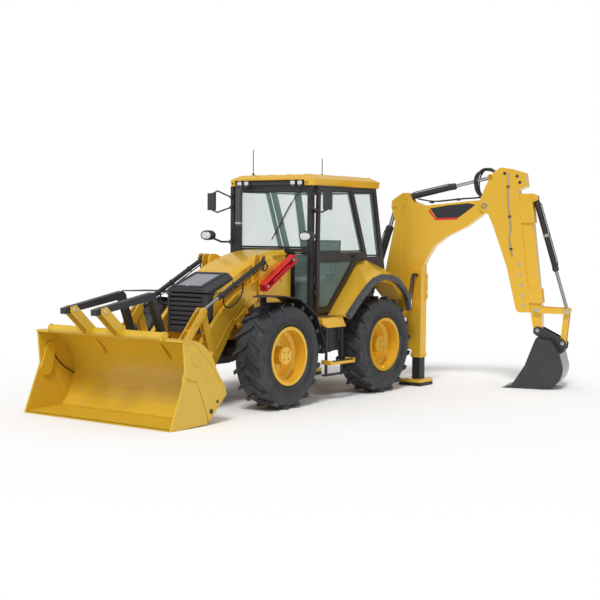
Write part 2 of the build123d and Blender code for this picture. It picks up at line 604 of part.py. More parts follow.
pieces["cab_interior"] = cab_interior.part

with BuildPart() as seat:
    post((SEAT_X, 0), 120, CAB_FLOOR + 30, CAB_FLOOR + 60)
    block((SEAT_X - 90, SEAT_X + 90), (-90, 90), (CAB_FLOOR + 60, 1500))
    slab([(-100, 1500), (400, 1500), (410, 1560), (380, 1600), (-60, 1590), (-100, 1560)], -240, 240)
    slab([(-110, 1500), (20, 1500), (-10, 1600), (-100, 2100), (-130, 2160), (-190, 2150), (-195, 2100)],
         -230, 230)
    for way in (1, -1):
        block((-60, 250), sorted((way * 245, way * 300)), (1780, 1820))
        block((-110, -50), sorted((way * 225, way * 300)), (1760, 1820))
pieces["seat"] = seat.part

# ================================================================ fenders, tanks and steps
FENDER_NEAR = [(800, 1095), (795, 1110), (100, 1800), (-120, 1840), (-620, 1700), (-690, 1300), (-690, 1115)]
FENDER_FAR = [(900, 1095), (890, 1130), (420, 1530), (80, 1650), (-350, 1580), (-660, 1300), (-690, 1115)]
ARCH = [(850, 1080), (400, 1460), (90, 1580), (-330, 1510), (-630, 1280), (-672, 1080)]
with BuildPart() as fenders:
    for way in (1, -1):
        with BuildSketch(side(way * (CAB_HALF + 0.3))) as near_face:
            Polygon(*FENDER_NEAR, align=None)
        with BuildSketch(side(way * 1110)) as far_face:
            Polygon(*FENDER_FAR, align=None)
        loft([near_face.sketch.face(), far_face.sketch.face()], ruled=True)
        slab([(820, 1080), (360, 1440), (70, 1555), (-310, 1490), (-620, 1260), (-660, 1080)],
             *sorted((way * 480, way * 1080)), Mode.SUBTRACT)
        slab(ARCH, *sorted((way * 1040, way * 1200)), Mode.SUBTRACT)
pieces["rear_fenders"] = fenders.part

with BuildPart() as tanks:
    for way in (1, -1):
        slab([(820, 660), (1250, 620), (1250, 960), (840, 960)], *sorted((way * 560, way * 960)))
        # Straps that hold the tank to the rail.
        block((900, 960), sorted((way * RAIL_OUTER, way * 560)), (860, 950))
        block((1080, 1140), sorted((way * RAIL_OUTER, way * 560)), (900, 950))
        # Tread frame hung beside the tank by two straps, with cross bars.
        for x in (880, 1240):
            block((x - 20, x + 20), sorted((way * 1000, way * 1020)), (330, 955))
            block((x - 20, x + 20), sorted((way * 1000, way * 1150)), (500, 520))
        block((780, 1340), sorted((way * 1130, way * 1150)), (490, 540))
        for y in (1045, 1080, 1112):
            block((790, 1330), sorted((way * y, way * (y + 8))), (495, 515))
        block((800, 1320), sorted((way * 1000, way * 1060)), (330, 350))
        for x in (880, 1240):
            block((x - 30, x + 30), sorted((way * 950, way * 1005)), (700, 760))
pieces["tanks_and_steps"] = tanks.part

with BuildPart() as exhaust:
    post((1290, -450), 48, 1240, 2860)
    slab([(1200, 2900), (1380, 2900), (1380, 2780), (1240, 2870)], -520, -380, Mode.SUBTRACT)
    post((1290, -450), 38, 2500, 2900, Mode.SUBTRACT)
    block((1250, 1330), (-480, -345), (RAIL_TOP, 1070))
    block((1262, 1318), (-480, -420), (1060, 1245))
pieces["exhaust_stack"] = exhaust.part

with BuildPart() as mirrors:
    add(antennas.part)
    for way in (1, -1):
        block((1205, 1240), sorted((way * 935, way * 1065)), (2520, 2760))
        for z in (2700, 2560):
            block((1170, 1196), sorted((way * (CAB_HALF - 45), way * (CAB_HALF - 5))), (z - 22, z + 22))
        for z_near, z_far in ((2700, 2790), (2560, 2490)):
            with BuildLine() as arm_path:
                Polyline((1184, way * (CAB_HALF - 20), z_near), (1215, way * 900, z_far),
                         (1222, way * 1000, (z_far + z_near) / 2))
            with BuildSketch(Plane(origin=arm_path.wires()[0] @ 0, z_dir=arm_path.wires()[0] % 0)) as tube:
                Circle(11)
            sweep(tube.sketch, path=arm_path.wires()[0], transition=Transition.RIGHT)
pieces["mirrors_antennas"] = mirrors.part

with BuildPart() as lamps:
    add(work_lamps.part)
    for way in (1, -1):
        with BuildSketch(Plane.YZ.offset(1430)) as lamp:
            with Locations((way * 850, 2170)):
                Ellipse(105, 68)
        extrude(lamp.sketch, amount=80, dir=(1, 0, 0))
        block((1170, 1202), sorted((way * (CAB_HALF - 50), way * (CAB_HALF - 5))), (2050, 2110))
        with BuildLine() as arm_path:
            Polyline((1187, way * (CAB_HALF - 20), 2080), (1300, way * 760, 2080), (1440, way * 850, 2150))
        with BuildSketch(Plane(origin=arm_path.wires()[0] @ 0, z_dir=arm_path.wires()[0] % 0)) as tube:
            Circle(14)
        sweep(tube.sketch, path=arm_path.wires()[0], transition=Transition.RIGHT)
pieces["lamps"] = lamps.part


# ================================================================ loader
ARM = [(1430, 1620), (1560, 1745), (1700, 1730), (2021, 1600), (2439, 1425), (2694, 1262), (3085, 900),
       (3380, 470),
       (3470, 330), (3440, 235), (3345, 225), (3100, 380), (2857, 560), (2691, 780), (2522, 1020), (2328,
                                                                                                    1185),
       (2041, 1335), (1600, 1500), (1480, 1530)]
with BuildPart() as arms:
    for way in (1, -1):
        slab(ARM, *sorted((way * ARM_IN, way * ARM_OUT)))
        bar(ARM_PIVOT, 45 + PIN_PLAY, *sorted((way * (ARM_IN - 1), way * (ARM_OUT + 1))), Mode.SUBTRACT)
        bar(BUCKET_PIN, 30 + PIN_PLAY, *sorted((way * (ARM_IN - 1), way * (ARM_OUT + 1))), Mode.SUBTRACT)
        # Pin that carries the tilt lever.
        bar(LEVER_PIVOT, 26, *sorted((way * (ARM_OUT - 5), way * 580)))
        bar(LEVER_PIVOT, 50, *sorted((way * (ARM_OUT - 5), way * 496)))
        # Ears for the lift rod, with a cap outside each.
        for near, far, cap_near, cap_far in ((400, 412, 392, 400), (473, 485, 485, 493)):
            slab([(2280, 1240), (2350, 1025), (2375, 1000), (2425, 1000), (2450, 1025), (2500, 1100)],
                 *sorted((way * near, way * far)))
            bar(LIFT_EYE, 30, *sorted((way * cap_near, way * cap_far)))
    bar(CROSS_TUBE, 62, -ARM_IN - 5, ARM_IN + 5)
pieces["loader_arms"] = arms.part

LIFT_ROD_R, TILT_ROD_R = 22, 19
LIFT_PLANES = [side(way * LIFT_Y) for way in (1, -1)]
TILT_PLANES = [side(way * TILT_Y) for way in (1, -1)]
with BuildPart() as lift_barrels:
    for plane in LIFT_PLANES:
        barrel(plane, LIFT_BASE, LIFT_EYE, 33, LIFT_ROD_R + 0.3, 1060, 68, 42, 24)
pieces["lift_barrels"] = lift_barrels.part
with BuildPart() as lift_rods:
    for plane in LIFT_PLANES:
        rod(plane, LIFT_BASE, LIFT_EYE, LIFT_ROD_R, 150, 44, 36)
pieces["lift_rods"] = lift_rods.part
with BuildPart() as tilt_barrels:
    for plane in TILT_PLANES:
        barrel(plane, TILT_BASE, LEVER_TOP, 31, TILT_ROD_R + 0.3, 1040, 60, 40, 22)
pieces["tilt_barrels"] = tilt_barrels.part
with BuildPart() as tilt_rods:
    for plane in TILT_PLANES:
        rod(plane, TILT_BASE, LEVER_TOP, TILT_ROD_R, 330, 38, 38)
pieces["tilt_rods"] = tilt_rods.part

with BuildPart() as levers:
    for way in (1, -1):
        for near, far in LEVER_PLATES:
            limits = sorted((way * near, way * far))
            slab([(2970, 735), (3070, 705), (3250, 1235), (3150, 1268)], *limits)
            bar(LEVER_PIVOT, 52, *limits)
            bar(LEVER_TOP, 52, *limits)
        bar((3110, 985), 32, *sorted((way * 505, way * 560)))
        bar(LEVER_PIVOT, 26 + PIN_PLAY, *sorted((way * 495, way * 570)), Mode.SUBTRACT)
        bar(LEVER_TOP, 22, *sorted((way * 480, way * 504)))
        bar(LEVER_TOP, 22, *sorted((way * 560, way * 586)))
pieces["tilt_levers"] = levers.part

with BuildPart() as links:
    for way in (1, -1):
        for near, far in LINK_PLATES:
            limits = sorted((way * near, way * far))
            slab([(3163, 1213), (3237, 1287), (3617, 867), (3543, 793)], *limits)
            bar(LEVER_TOP, 52, *limits)
            bar(LINK_END, 50, *limits)
            for centre in (LEVER_TOP, LINK_END):
                bar(centre, 22 + PIN_PLAY, limits[0] - 1, limits[1] + 1, Mode.SUBTRACT)
        bar((3410, 1018), 24, *sorted((way * 490, way * 574)))
pieces["bucket_links"] = links.part

with BuildPart() as bucket:
    # Side plates, stopped on an arc round the clam's pivot and along the split line.
    for way in (1, -1):
        with BuildSketch(side(way * BUCKET_HALF if way > 0 else way * (BUCKET_HALF - SIDE_PLATE))) as cheek:
            with BuildLine():
                arc_from = (CLAM_PIVOT[0] + CLAM_ARC_R * cos(radians(-51)),
                            CLAM_PIVOT[1] + CLAM_ARC_R * sin(radians(-51)))
                arc_mid = (CLAM_PIVOT[0] + CLAM_ARC_R * cos(radians(-73)),
                           CLAM_PIVOT[1] + CLAM_ARC_R * sin(radians(-73)))
                arc_to = (CLAM_PIVOT[0] + CLAM_ARC_R * cos(radians(-96)),
                          CLAM_PIVOT[1] + CLAM_ARC_R * sin(radians(-96)))
                ThreePointArc(arc_from, arc_mid, arc_to)
                Polyline(arc_to, (3851, 90), (3840, 40), (3524, 330), (3560, 440), (3760, 710), (4094, 985),
                         (4270, 985), arc_from)
            make_face()
        extrude(cheek.sketch, amount=SIDE_PLATE, dir=(0, -1, 0))
        bar(CLAM_PIVOT, 30, *sorted((way * 1148, way * 1222)))
        bar(CLAM_PIVOT, 52, *sorted((way * 1209, way * 1216)))
    # Curved back plate with a stiff beam behind it.
    with BuildSketch(side(BUCKET_HALF - 5)) as back:
        with BuildLine():
            ThreePointArc((4190, 1010), (3680, 570), (3838, 60))
            Line((3838, 60), (3856, 72))
            ThreePointArc((3856, 72), (3702, 566), (4205, 992))
            Line((4205, 992), (4190, 1010))
        make_face()
    extrude(back.sketch, amount=2 * (BUCKET_HALF - 5), dir=(0, -1, 0))
    slab([(3530, 310), (3530, 390), (3640, 560), (3700, 620), (3690, 500), (3710, 320), (3760, 200),
          (3700, 180)],
         -(BUCKET_HALF - 20), BUCKET_HALF - 20)
    # Top plate and the round tube along it.
    slab([(4150, 985), (4290, 985), (4290, 1003), (4150, 1003)], -(BUCKET_HALF - 5), BUCKET_HALF - 5)
    bar(TUBE_AXIS, 46, -930, 930)
    for y in (-935, -FORK_Y, FORK_Y, 920):
        slab([(4220, 995), (4345, 995), (4335, 1060), (4285, 1095), (4235, 1060)], y - 8, y + 8)
    for way in (1, -1):
        # Ears for the arm pin and the link pin.
        slab([(3360, 260), (3360, 350), (3560, 460), (3600, 300), (3560, 260)],
             *sorted((way * 372, way * 398)))
        slab([(3360, 260), (3360, 350), (3560, 460), (3600, 300), (3560, 260)],
             *sorted((way * 487, way * 512)))
        bar(BUCKET_PIN, 30, *sorted((way * 362, way * 522)))
        slab([(3545, 800), (3545, 860), (3600, 880), (3990, 950), (3800, 740), (3640, 600), (3600, 640)],
             *sorted((way * 512, way * 552)))
        bar(LINK_END, 22, *sorted((way * 478, way * 590)))
        # Twin brackets of the flip-over forks, with their pins.
        middle = way * FORK_Y
        for off in (-(FORK_WIDTH / 2 + 22), FORK_WIDTH / 2 + 6):
            slab([(4240, 1000), (4340, 1000), (4665, 1285), (4665, 1340), (4580, 1360), (4300, 1110),
                  (4240, 1060)],
                 middle + off, middle + off + 16)
        bar(FORK_EYE, 25, middle - FORK_WIDTH / 2 - 30, middle + FORK_WIDTH / 2 + 30)
pieces["loader_bucket"] = bucket.part

with BuildPart() as clam:
    inner_r = CLAM_ARC_R + CLAM_GAP
    for way in (1, -1):
        with BuildSketch(side(way * BUCKET_HALF if way > 0 else way * (BUCKET_HALF - SIDE_PLATE))) as cheek:
            with BuildLine():
                clam_from = (CLAM_PIVOT[0] + inner_r * cos(radians(-50)),
                             CLAM_PIVOT[1] + inner_r * sin(radians(-50)))
                clam_mid = (CLAM_PIVOT[0] + inner_r * cos(radians(-73)),
                            CLAM_PIVOT[1] + inner_r * sin(radians(-73)))
                clam_to = (CLAM_PIVOT[0] + inner_r * cos(radians(-94)),
                           CLAM_PIVOT[1] + inner_r * sin(radians(-94)))
                ThreePointArc(clam_from, clam_mid, clam_to)
                Polyline(clam_to, (3866, 100), (3870, 18), (4480, 2), (4470, 40), clam_from)
            make_face()
        extrude(cheek.sketch, amount=SIDE_PLATE, dir=(0, -1, 0))
        # Inner arm up to the pivot.
        slab([(4010, 770), (4050, 850), (4110, 850), (4160, 780), (4250, 540), (4200, 440), (4100, 440),
              (4060, 520)],
             *sorted((way * 1155, way * 1180)))
        slab([(4120, 500), (4190, 530), (4225, 480), (4200, 450), (4110, 450)],
             *sorted((way * 1175, way * 1190)))
        bar(CLAM_PIVOT, 30 + PIN_PLAY, *sorted((way * 1150, way * 1183)), Mode.SUBTRACT)
    # Floor and cutting edge.
    slab([(3870, 18), (3870, 40), (4300, 32), (4470, 24), (4300, 6)], -(BUCKET_HALF - 20), BUCKET_HALF - 20)
    slab([(4310, 2), (4300, 22), (4440, 22), (4490, 2)], -BUCKET_HALF, BUCKET_HALF)
pieces["bucket_clam"] = clam.part

for label, way in (("left", 1), ("right", -1)):
    with BuildPart() as fork:
        slab([(4730, 1262), (4735, 1330), (3790, 1497), (3745, 1462), (3398, 508), (3425, 492), (3812, 1402)],
             way * FORK_Y - FORK_WIDTH / 2, way * FORK_Y + FORK_WIDTH / 2)
        bar(FORK_EYE, 25 + PIN_PLAY, way * FORK_Y - 60, way * FORK_Y + 60, Mode.SUBTRACT)
    pieces[f"fork_{label}"] = fork.part

with BuildPart() as strut:
    # Lift lock channel stowed on the outside of the left tower.
    slab([(1975, 1455), (2030, 1545), (1390, 1925), (1335, 1835)], TOWER_OUT, TOWER_OUT + 12)
    slab([(1975, 1455), (1984, 1468), (1344, 1848), (1335, 1835)], TOWER_OUT, TOWER_OUT + 85)
    slab([(2021, 1532), (2030, 1545), (1390, 1925), (1381, 1912)], TOWER_OUT, TOWER_OUT + 85)
pieces["lift_lock_strut"] = strut.part

# ================================================================ backhoe
with BuildPart() as carriage:
    y_mid = SWING_AXIS[1]
    block((-1085, -1050 - SHIFT_PLAY), (y_mid - 300, y_mid + 300), (480, 1125))
    block((-1085, -950), (y_mid - 300, y_mid + 300), (1100 + SHIFT_PLAY, 1125))
    block((-1085, -950), (y_mid - 300, y_mid + 300), (480, 520 - SHIFT_PLAY))
    for low, high in ((480, 515), (1085, 1120)):
        block((SWING_AXIS[0], -1070), (y_mid - 95, y_mid + 95), (low, high))
        post(SWING_AXIS, 95, low, high)
        post(SWING_AXIS, 40 + PIN_PLAY, low - 1, high + 1, Mode.SUBTRACT)
pieces["sideshift_carriage"] = carriage.part

with BuildPart() as swing_post:
    post(SWING_AXIS, 82, POST_LOW, POST_TOP)
    post(SWING_AXIS, 40, 470, 1135)
    post(SWING_AXIS, 84, 1120 + PIN_PLAY, 1145)
    for near, far in ((-128, -108), (108, 128)):
        hoe_slab([(-20, 560), (320, 615), (375, 700), (350, 780), (60, 1060), (-20, 1060)], near, far)
    hoe_slab([(-60, 560), (60, 560), (60, 1060), (-60, 1060)], -128, 128)
    hoe_bar(BOOM_FOOT, 45, -140, 140)
    for near, far in ((-76, -60), (60, 76)):
        hoe_slab([(-108, 1140), (20, 1140), (-5, 1270), (-60, 1293), (-108, 1270)], near, far)
    hoe_bar(BOOM_CYL_BASE, 24, -84, 84)
pieces["swing_post"] = swing_post.part

BOOM = [(306, 2600), (314, 2700), (410, 2770), (480, 2815), (580, 2815), (640, 2690), (820, 2625),
        (1560, 2700),
        (1700, 2705), (1780, 2670), (1800, 2600), (1760, 2555), (1470, 2330), (1155, 2170), (970,
                                                                                             2030), (860,
                                                                                                     1850),
        (640, 1320), (430, 820), (370, 640), (300, 612), (220, 640), (165, 760), (175, 1350), (240,
                                                                                               1730), (366,
                                                                                                       2390)]
with BuildPart() as boom:
    hoe_slab(BOOM, -BOOM_HALF, BOOM_HALF)
    hoe_bar(BOOM_FOOT, 45 + PIN_PLAY, -BOOM_HALF - 1, BOOM_HALF + 1, Mode.SUBTRACT)
    hoe_bar(STICK_PIN, 40 + PIN_PLAY, -BOOM_HALF - 1, BOOM_HALF + 1, Mode.SUBTRACT)
    # Slot between the two plates that carry the cylinders' pins.
    hoe_slab([(100, 1850), (100, 2900), (700, 2900), (700, 2670), (600, 2660), (470, 2560), (440, 2400),
              (350, 2050),
              (290, 1850)], -BOOM_SLOT, BOOM_SLOT, Mode.SUBTRACT)
    hoe_bar(STICK_CYL_BASE, 25, -BOOM_HALF - 10, BOOM_HALF + 10)
    for near, far in ((-BOOM_HALF - 12, -BOOM_HALF), (BOOM_HALF, BOOM_HALF + 12)):
        hoe_bar(BOOM_ROD_PIN, 42, near, far)
pieces["boom"] = boom.part

def slide_u(v, offset=0):
    """u of the slide's rear face at a height v, plus an offset away from the stick."""
    return SLIDE_TOP[0] + (SLIDE_TOP[1] - v) * (SLIDE_LOW[0] - SLIDE_TOP[0]) / (SLIDE_TOP[1] - SLIDE_LOW[1]) + offset


STICK = [(1640, 2590), (1690, 2530), (1775, 2500), (1850, 2333), (2060, 1735), (2200, 1130), (2240, 1085),
         (slide_u(1085), 1085),
         SLIDE_TOP, (2330, 2900), (2300, 3100), (2110, 3155), (1947, 3178), (1837, 3100), (1740,
                                                                                           2930), (1640,
                                                                                                   2680)]
with BuildPart() as stick:
    hoe_slab(STICK, -STICK_HALF, STICK_HALF)
    hoe_slab([(1500, 2300), (1830, 2370), (1905, 2470), (1925, 2980), (1985, 3040), (1985, 3300),
              (1500, 3300)],
             -STICK_HALF + 24, STICK_HALF - 24, Mode.SUBTRACT)
    hoe_bar(STICK_PIN, 40, -STICK_HALF - 12, STICK_HALF + 12)
    for near, far in ((-STICK_HALF - 12, -STICK_HALF), (STICK_HALF, STICK_HALF + 12)):
        hoe_bar(STICK_EYE, 42, near, far)
    # Guide yokes that hold the extension stick, open in the middle for the bucket cylinder.
    lip = EXTENSION_DEPTH + 2 * SLIDE_PLAY
    for top_v, low_v in ((2700, 2380), (1430, 1225)):
        for near, far in ((-SLIDE_HALF - 29, -SLIDE_HALF - SLIDE_PLAY),
                          (SLIDE_HALF + SLIDE_PLAY, SLIDE_HALF + 29)):
            hoe_slab([(slide_u(top_v, -30), top_v), (slide_u(top_v, lip + 20), top_v),
                      (slide_u(low_v, lip + 20), low_v),
                      (slide_u(low_v, -30), low_v)], near, far)
        for near, far in ((-SLIDE_HALF - 29, -62), (62, SLIDE_HALF + 29)):
            hoe_slab([(slide_u(top_v, lip), top_v), (slide_u(top_v, lip + 20), top_v),
                      (slide_u(low_v, lip + 20), low_v),
                      (slide_u(low_v, lip), low_v)], near, far)
pieces["stick"] = stick.part

with BuildPart() as extension:
    hoe_slab([(slide_u(2800, SLIDE_PLAY), 2800), (slide_u(2800, EXTENSION_DEPTH), 2800),
              (slide_u(1090, EXTENSION_DEPTH), 1090),
              (2575, 850), (2540, 770), (2490, 770), (2450, 860), (slide_u(1080, SLIDE_PLAY),
                                                                   1080)], -SLIDE_HALF, SLIDE_HALF)
    # Ears of the bucket cylinder, lever bosses and the bore of the bucket pin.
    for near, far in ((-60, -47), (47, 60)):
        hoe_slab([(2360, 2800), (2400, 2805), (2485, 2765), (2485, 2710), (2380, 2660)], near, far)
    hoe_bar(BUCKET_CYL_BASE, 24, -68, 68)
    hoe_bar(HOE_LEVER_PIVOT, 30, -155, 155)
    hoe_bar(HOE_LEVER_PIVOT, 48, -127, 127)
    hoe_bar(HOE_BUCKET_PIN, 35 + PIN_PLAY, -SLIDE_HALF - 1, SLIDE_HALF + 1, Mode.SUBTRACT)
pieces["extension_stick"] = extension.part

with BuildPart() as hoe_lever:
    for near, far in ((-145, -131), (131, 145)):
        hoe_slab([(2500, 1080), (2500, 1170), (2925, 1153), (2925, 1077)], near, far)
        hoe_bar(HOE_LEVER_PIVOT, 48, near, far)
        hoe_bar(HOE_LEVER_TOP, 42, near, far)
    hoe_bar(HOE_LEVER_PIVOT, 30 + PIN_PLAY, -160, 160, Mode.SUBTRACT)
    for near, far in ((-150, -56), (56, 150)):
        hoe_bar(HOE_LEVER_TOP, 28, near, far)
pieces["hoe_lever"] = hoe_lever.part

with BuildPart() as hoe_link:
    for near, far in ((-82, -60), (60, 82)):
        hoe_slab([(2885, 1115), (2965, 1115), (2920, 655), (2840, 655)], near, far)
        hoe_bar(HOE_LEVER_TOP, 48, near, far)
        hoe_bar(HOE_LINK_PIN, 42, near, far)
    hoe_bar(HOE_LEVER_TOP, 28 + PIN_PLAY, -100, 100, Mode.SUBTRACT)
    hoe_slab([(2875, 880), (2930, 880), (2922, 800), (2867, 800)], -65, 65)
    for near, far in ((-97, -80), (80, 97)):
        hoe_bar(HOE_LINK_PIN, 28, near, far)
pieces["hoe_link"] = hoe_link.part

with BuildPart() as hoe_bucket:
    with BuildSketch(HOE.offset(-HOE_BUCKET_HALF)) as shell:
        with BuildLine():
            Polyline((2530, 735), (2490, 640), (2376, 336), (2190, 45), (2050, 2), (2640, 2))
            ThreePointArc((2640, 2), (2845, 100), (2920, 330))
            Polyline((2920, 330), (2872, 512), (2738, 705), (2530, 735))
        make_face()
    extrude(shell.sketch, amount=2 * HOE_BUCKET_HALF, dir=HOE.z_dir)
    with BuildSketch(HOE.offset(-HOE_BUCKET_HALF + 16)) as inside:
        with BuildLine():
            Polyline((2400, 718), (2000, 20), (2635, 18))
            ThreePointArc((2635, 18), (2832, 110), (2904, 330))
            Polyline((2904, 330), (2857, 504), (2729, 689), (2400, 718))
        make_face()
    extrude(inside.sketch, amount=2 * HOE_BUCKET_HALF - 32, dir=HOE.z_dir, mode=Mode.SUBTRACT)
    for near, far in ((-127, -102), (102, 127)):
        hoe_slab([(2460, 790), (2460, 850), (2500, 885), (2560, 880), (2890, 712), (2935, 660), (2925, 580),
                  (2868, 510),
                  (2736, 700), (2540, 730)], near, far)
    hoe_bar(HOE_BUCKET_PIN, 35, -138, 138)
    for near, far in ((-137, -127), (127, 137)):
        hoe_bar(HOE_LINK_PIN, 34, near, far)
pieces["hoe_bucket"] = hoe_bucket.part

# name, base pin, rod pin, barrel radius, rod radius, barrel length, rod start,
# barrel eye width, rod eye width, eye radius, base pin radius
HOE_CYLINDERS = (
    ("boom", BOOM_CYL_BASE, BOOM_ROD_PIN, 54, 32, 1120, 150, 112, 88, 48, 24),
    ("stick", STICK_CYL_BASE, STICK_EYE, 44, 27, 750, 540, 90, 84, 46, 25),
    ("bucket", BUCKET_CYL_BASE, HOE_LEVER_TOP, 42, 26, 1090, 480, 88, 84, 44, 24),
)
for name, base, eye, barrel_r, rod_r, length, rod_start, base_width, eye_width, eye_r, pin_r in HOE_CYLINDERS:
    with BuildPart() as tube:
        barrel(HOE, base, eye, barrel_r, rod_r + 0.3, length, base_width, eye_r, pin_r)
    pieces[f"{name}_barrel"] = tube.part
    with BuildPart() as piston:
        rod(HOE, base, eye, rod_r, rod_start, eye_width, eye_r)
    pieces[f"{name}_rod"] = piston.part


def write_pieces():
    """Move all pieces so that the origin is the middle of the footprint, then write one file each."""
    os.makedirs("parts", exist_ok=True)
    box = Compound(children=[Compound(piece.solids()) for piece in pieces.values()]).bounding_box()
    shift = Location((-(box.min.X + box.max.X) / 2, -(box.min.Y + box.max.Y) / 2, -box.min.Z))
    for name, piece in pieces.items():
        placed = Compound(piece.solids()).moved(shift)
        placed.label = name
        export_step(placed, f"parts/{name}.step")
    print("moved by", shift.position, "size", box.size)


write_pieces()
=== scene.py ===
"""Looks of a backhoe loader: finishes, fittings, hoses, seat and studio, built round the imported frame.

Points are given in millimetres from the ground under the rear axle, +X forward, +Y left and +Z up.
Points on the backhoe are (u, v, w): outward, up and sideways on the upright plane through its swing axis.
"""
from __future__ import annotations

import logging
import math
from dataclasses import dataclass, field
from enum import Enum
from typing import Callable, Iterable, Iterator, Sequence

import bmesh
import bpy
from mathutils import Matrix, Vector


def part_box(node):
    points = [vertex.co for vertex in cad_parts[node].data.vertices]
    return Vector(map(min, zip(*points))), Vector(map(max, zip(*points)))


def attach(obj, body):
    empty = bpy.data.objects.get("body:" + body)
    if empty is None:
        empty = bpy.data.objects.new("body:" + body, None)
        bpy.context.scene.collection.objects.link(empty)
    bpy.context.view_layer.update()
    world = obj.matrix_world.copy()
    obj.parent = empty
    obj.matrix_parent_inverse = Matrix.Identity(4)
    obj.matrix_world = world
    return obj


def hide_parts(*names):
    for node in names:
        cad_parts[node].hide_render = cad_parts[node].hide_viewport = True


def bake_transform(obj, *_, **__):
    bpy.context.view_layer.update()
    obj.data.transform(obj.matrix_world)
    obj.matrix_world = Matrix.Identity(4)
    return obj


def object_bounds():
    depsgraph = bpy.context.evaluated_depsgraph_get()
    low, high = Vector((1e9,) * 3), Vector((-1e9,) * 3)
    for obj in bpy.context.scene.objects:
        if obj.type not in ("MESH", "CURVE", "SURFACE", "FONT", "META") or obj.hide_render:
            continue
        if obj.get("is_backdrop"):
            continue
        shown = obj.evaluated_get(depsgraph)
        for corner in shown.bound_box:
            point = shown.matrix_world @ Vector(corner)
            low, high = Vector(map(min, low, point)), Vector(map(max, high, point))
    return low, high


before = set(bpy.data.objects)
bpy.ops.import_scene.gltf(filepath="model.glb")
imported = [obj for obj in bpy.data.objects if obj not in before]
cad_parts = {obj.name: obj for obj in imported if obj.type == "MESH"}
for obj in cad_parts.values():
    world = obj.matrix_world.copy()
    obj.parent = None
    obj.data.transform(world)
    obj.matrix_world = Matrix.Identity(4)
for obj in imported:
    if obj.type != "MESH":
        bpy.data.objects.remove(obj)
LOG = logging.getLogger("backhoe_loader")
MM = 0.001
AXLE_HEIGHT = 670.0
Point = Sequence[float]
Maker = Callable[[bmesh.types.BMesh], None]
Socket = bpy.types.NodeSocket


# ------------------------------------------------------------------ layout
@dataclass(frozen=True)
class Layout:
    """Turns the machine's own measuring points into places in the frame."""

    origin: Vector
    swing_axis: tuple[float, float] = (-1250.0, 100.0)
    swing_deg: float = 73.5
    box: tuple[Vector, Vector] = field(default_factory=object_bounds)

    @classmethod
    def from_frame(cls) -> "Layout":
        """Finds the ground under the rear axle from the rear tyres' boxes."""
        low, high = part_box("tyre_rear_left")
        other_low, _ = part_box("tyre_rear_right")
        centre_x = (low.x + high.x) / 2
        centre_y = (high.y + other_low.y) / 2
        return cls(Vector((centre_x, centre_y, (low.z + high.z) / 2 - AXLE_HEIGHT * MM)))

    def at(self, x: float, y: float, z: float) -> Vector:
        """Place of a point on the machine, in metres."""
        return self.origin + Vector((x, y, z)) * MM

    def hoe(self, u: float, v: float, w: float = 0.0) -> Vector:
        """Place of a point on the backhoe's upright plane, in metres."""
        turn = math.radians(self.swing_deg)
        x = self.swing_axis[0] - math.cos(turn) * u + math.sin(turn) * w
        y = self.swing_axis[1] + math.sin(turn) * u + math.cos(turn) * w
        return self.at(x, y, v)

    def hoe_side(self) -> Vector:
        """Unit vector square to the backhoe's plane."""
        turn = math.radians(self.swing_deg)
        return Vector((math.sin(turn), math.cos(turn), 0.0))


PLACE = Layout.from_frame()


class Side(Enum):
    """Left or right of the machine, with the sign of its y."""

    LEFT = 1
    RIGHT = -1

    @property
    def label(self) -> str:
        """Name used in body and piece names."""
        return self.name.lower()


# ------------------------------------------------------------------ blender helpers
def placed(name: str, data: bpy.types.ID) -> bpy.types.Object:
    """Makes an object of a mesh, curve, light or camera and puts it in the scene."""
    made = bpy.data.objects.new(name, data)
    bpy.context.scene.collection.objects.link(made)
    return made


def baked(piece: bpy.types.Object) -> bpy.types.Mesh:
    """Copy of an object's mesh with its modifiers applied."""
    graph = bpy.context.evaluated_depsgraph_get()
    return bpy.data.meshes.new_from_object(piece.evaluated_get(graph))


def filled(node: bpy.types.Node, values: dict[str, object]) -> bpy.types.Node:
    """Sets a node's input sockets by name and returns the node."""
    for name, value in values.items():
        node.inputs[name].default_value = value
    return node


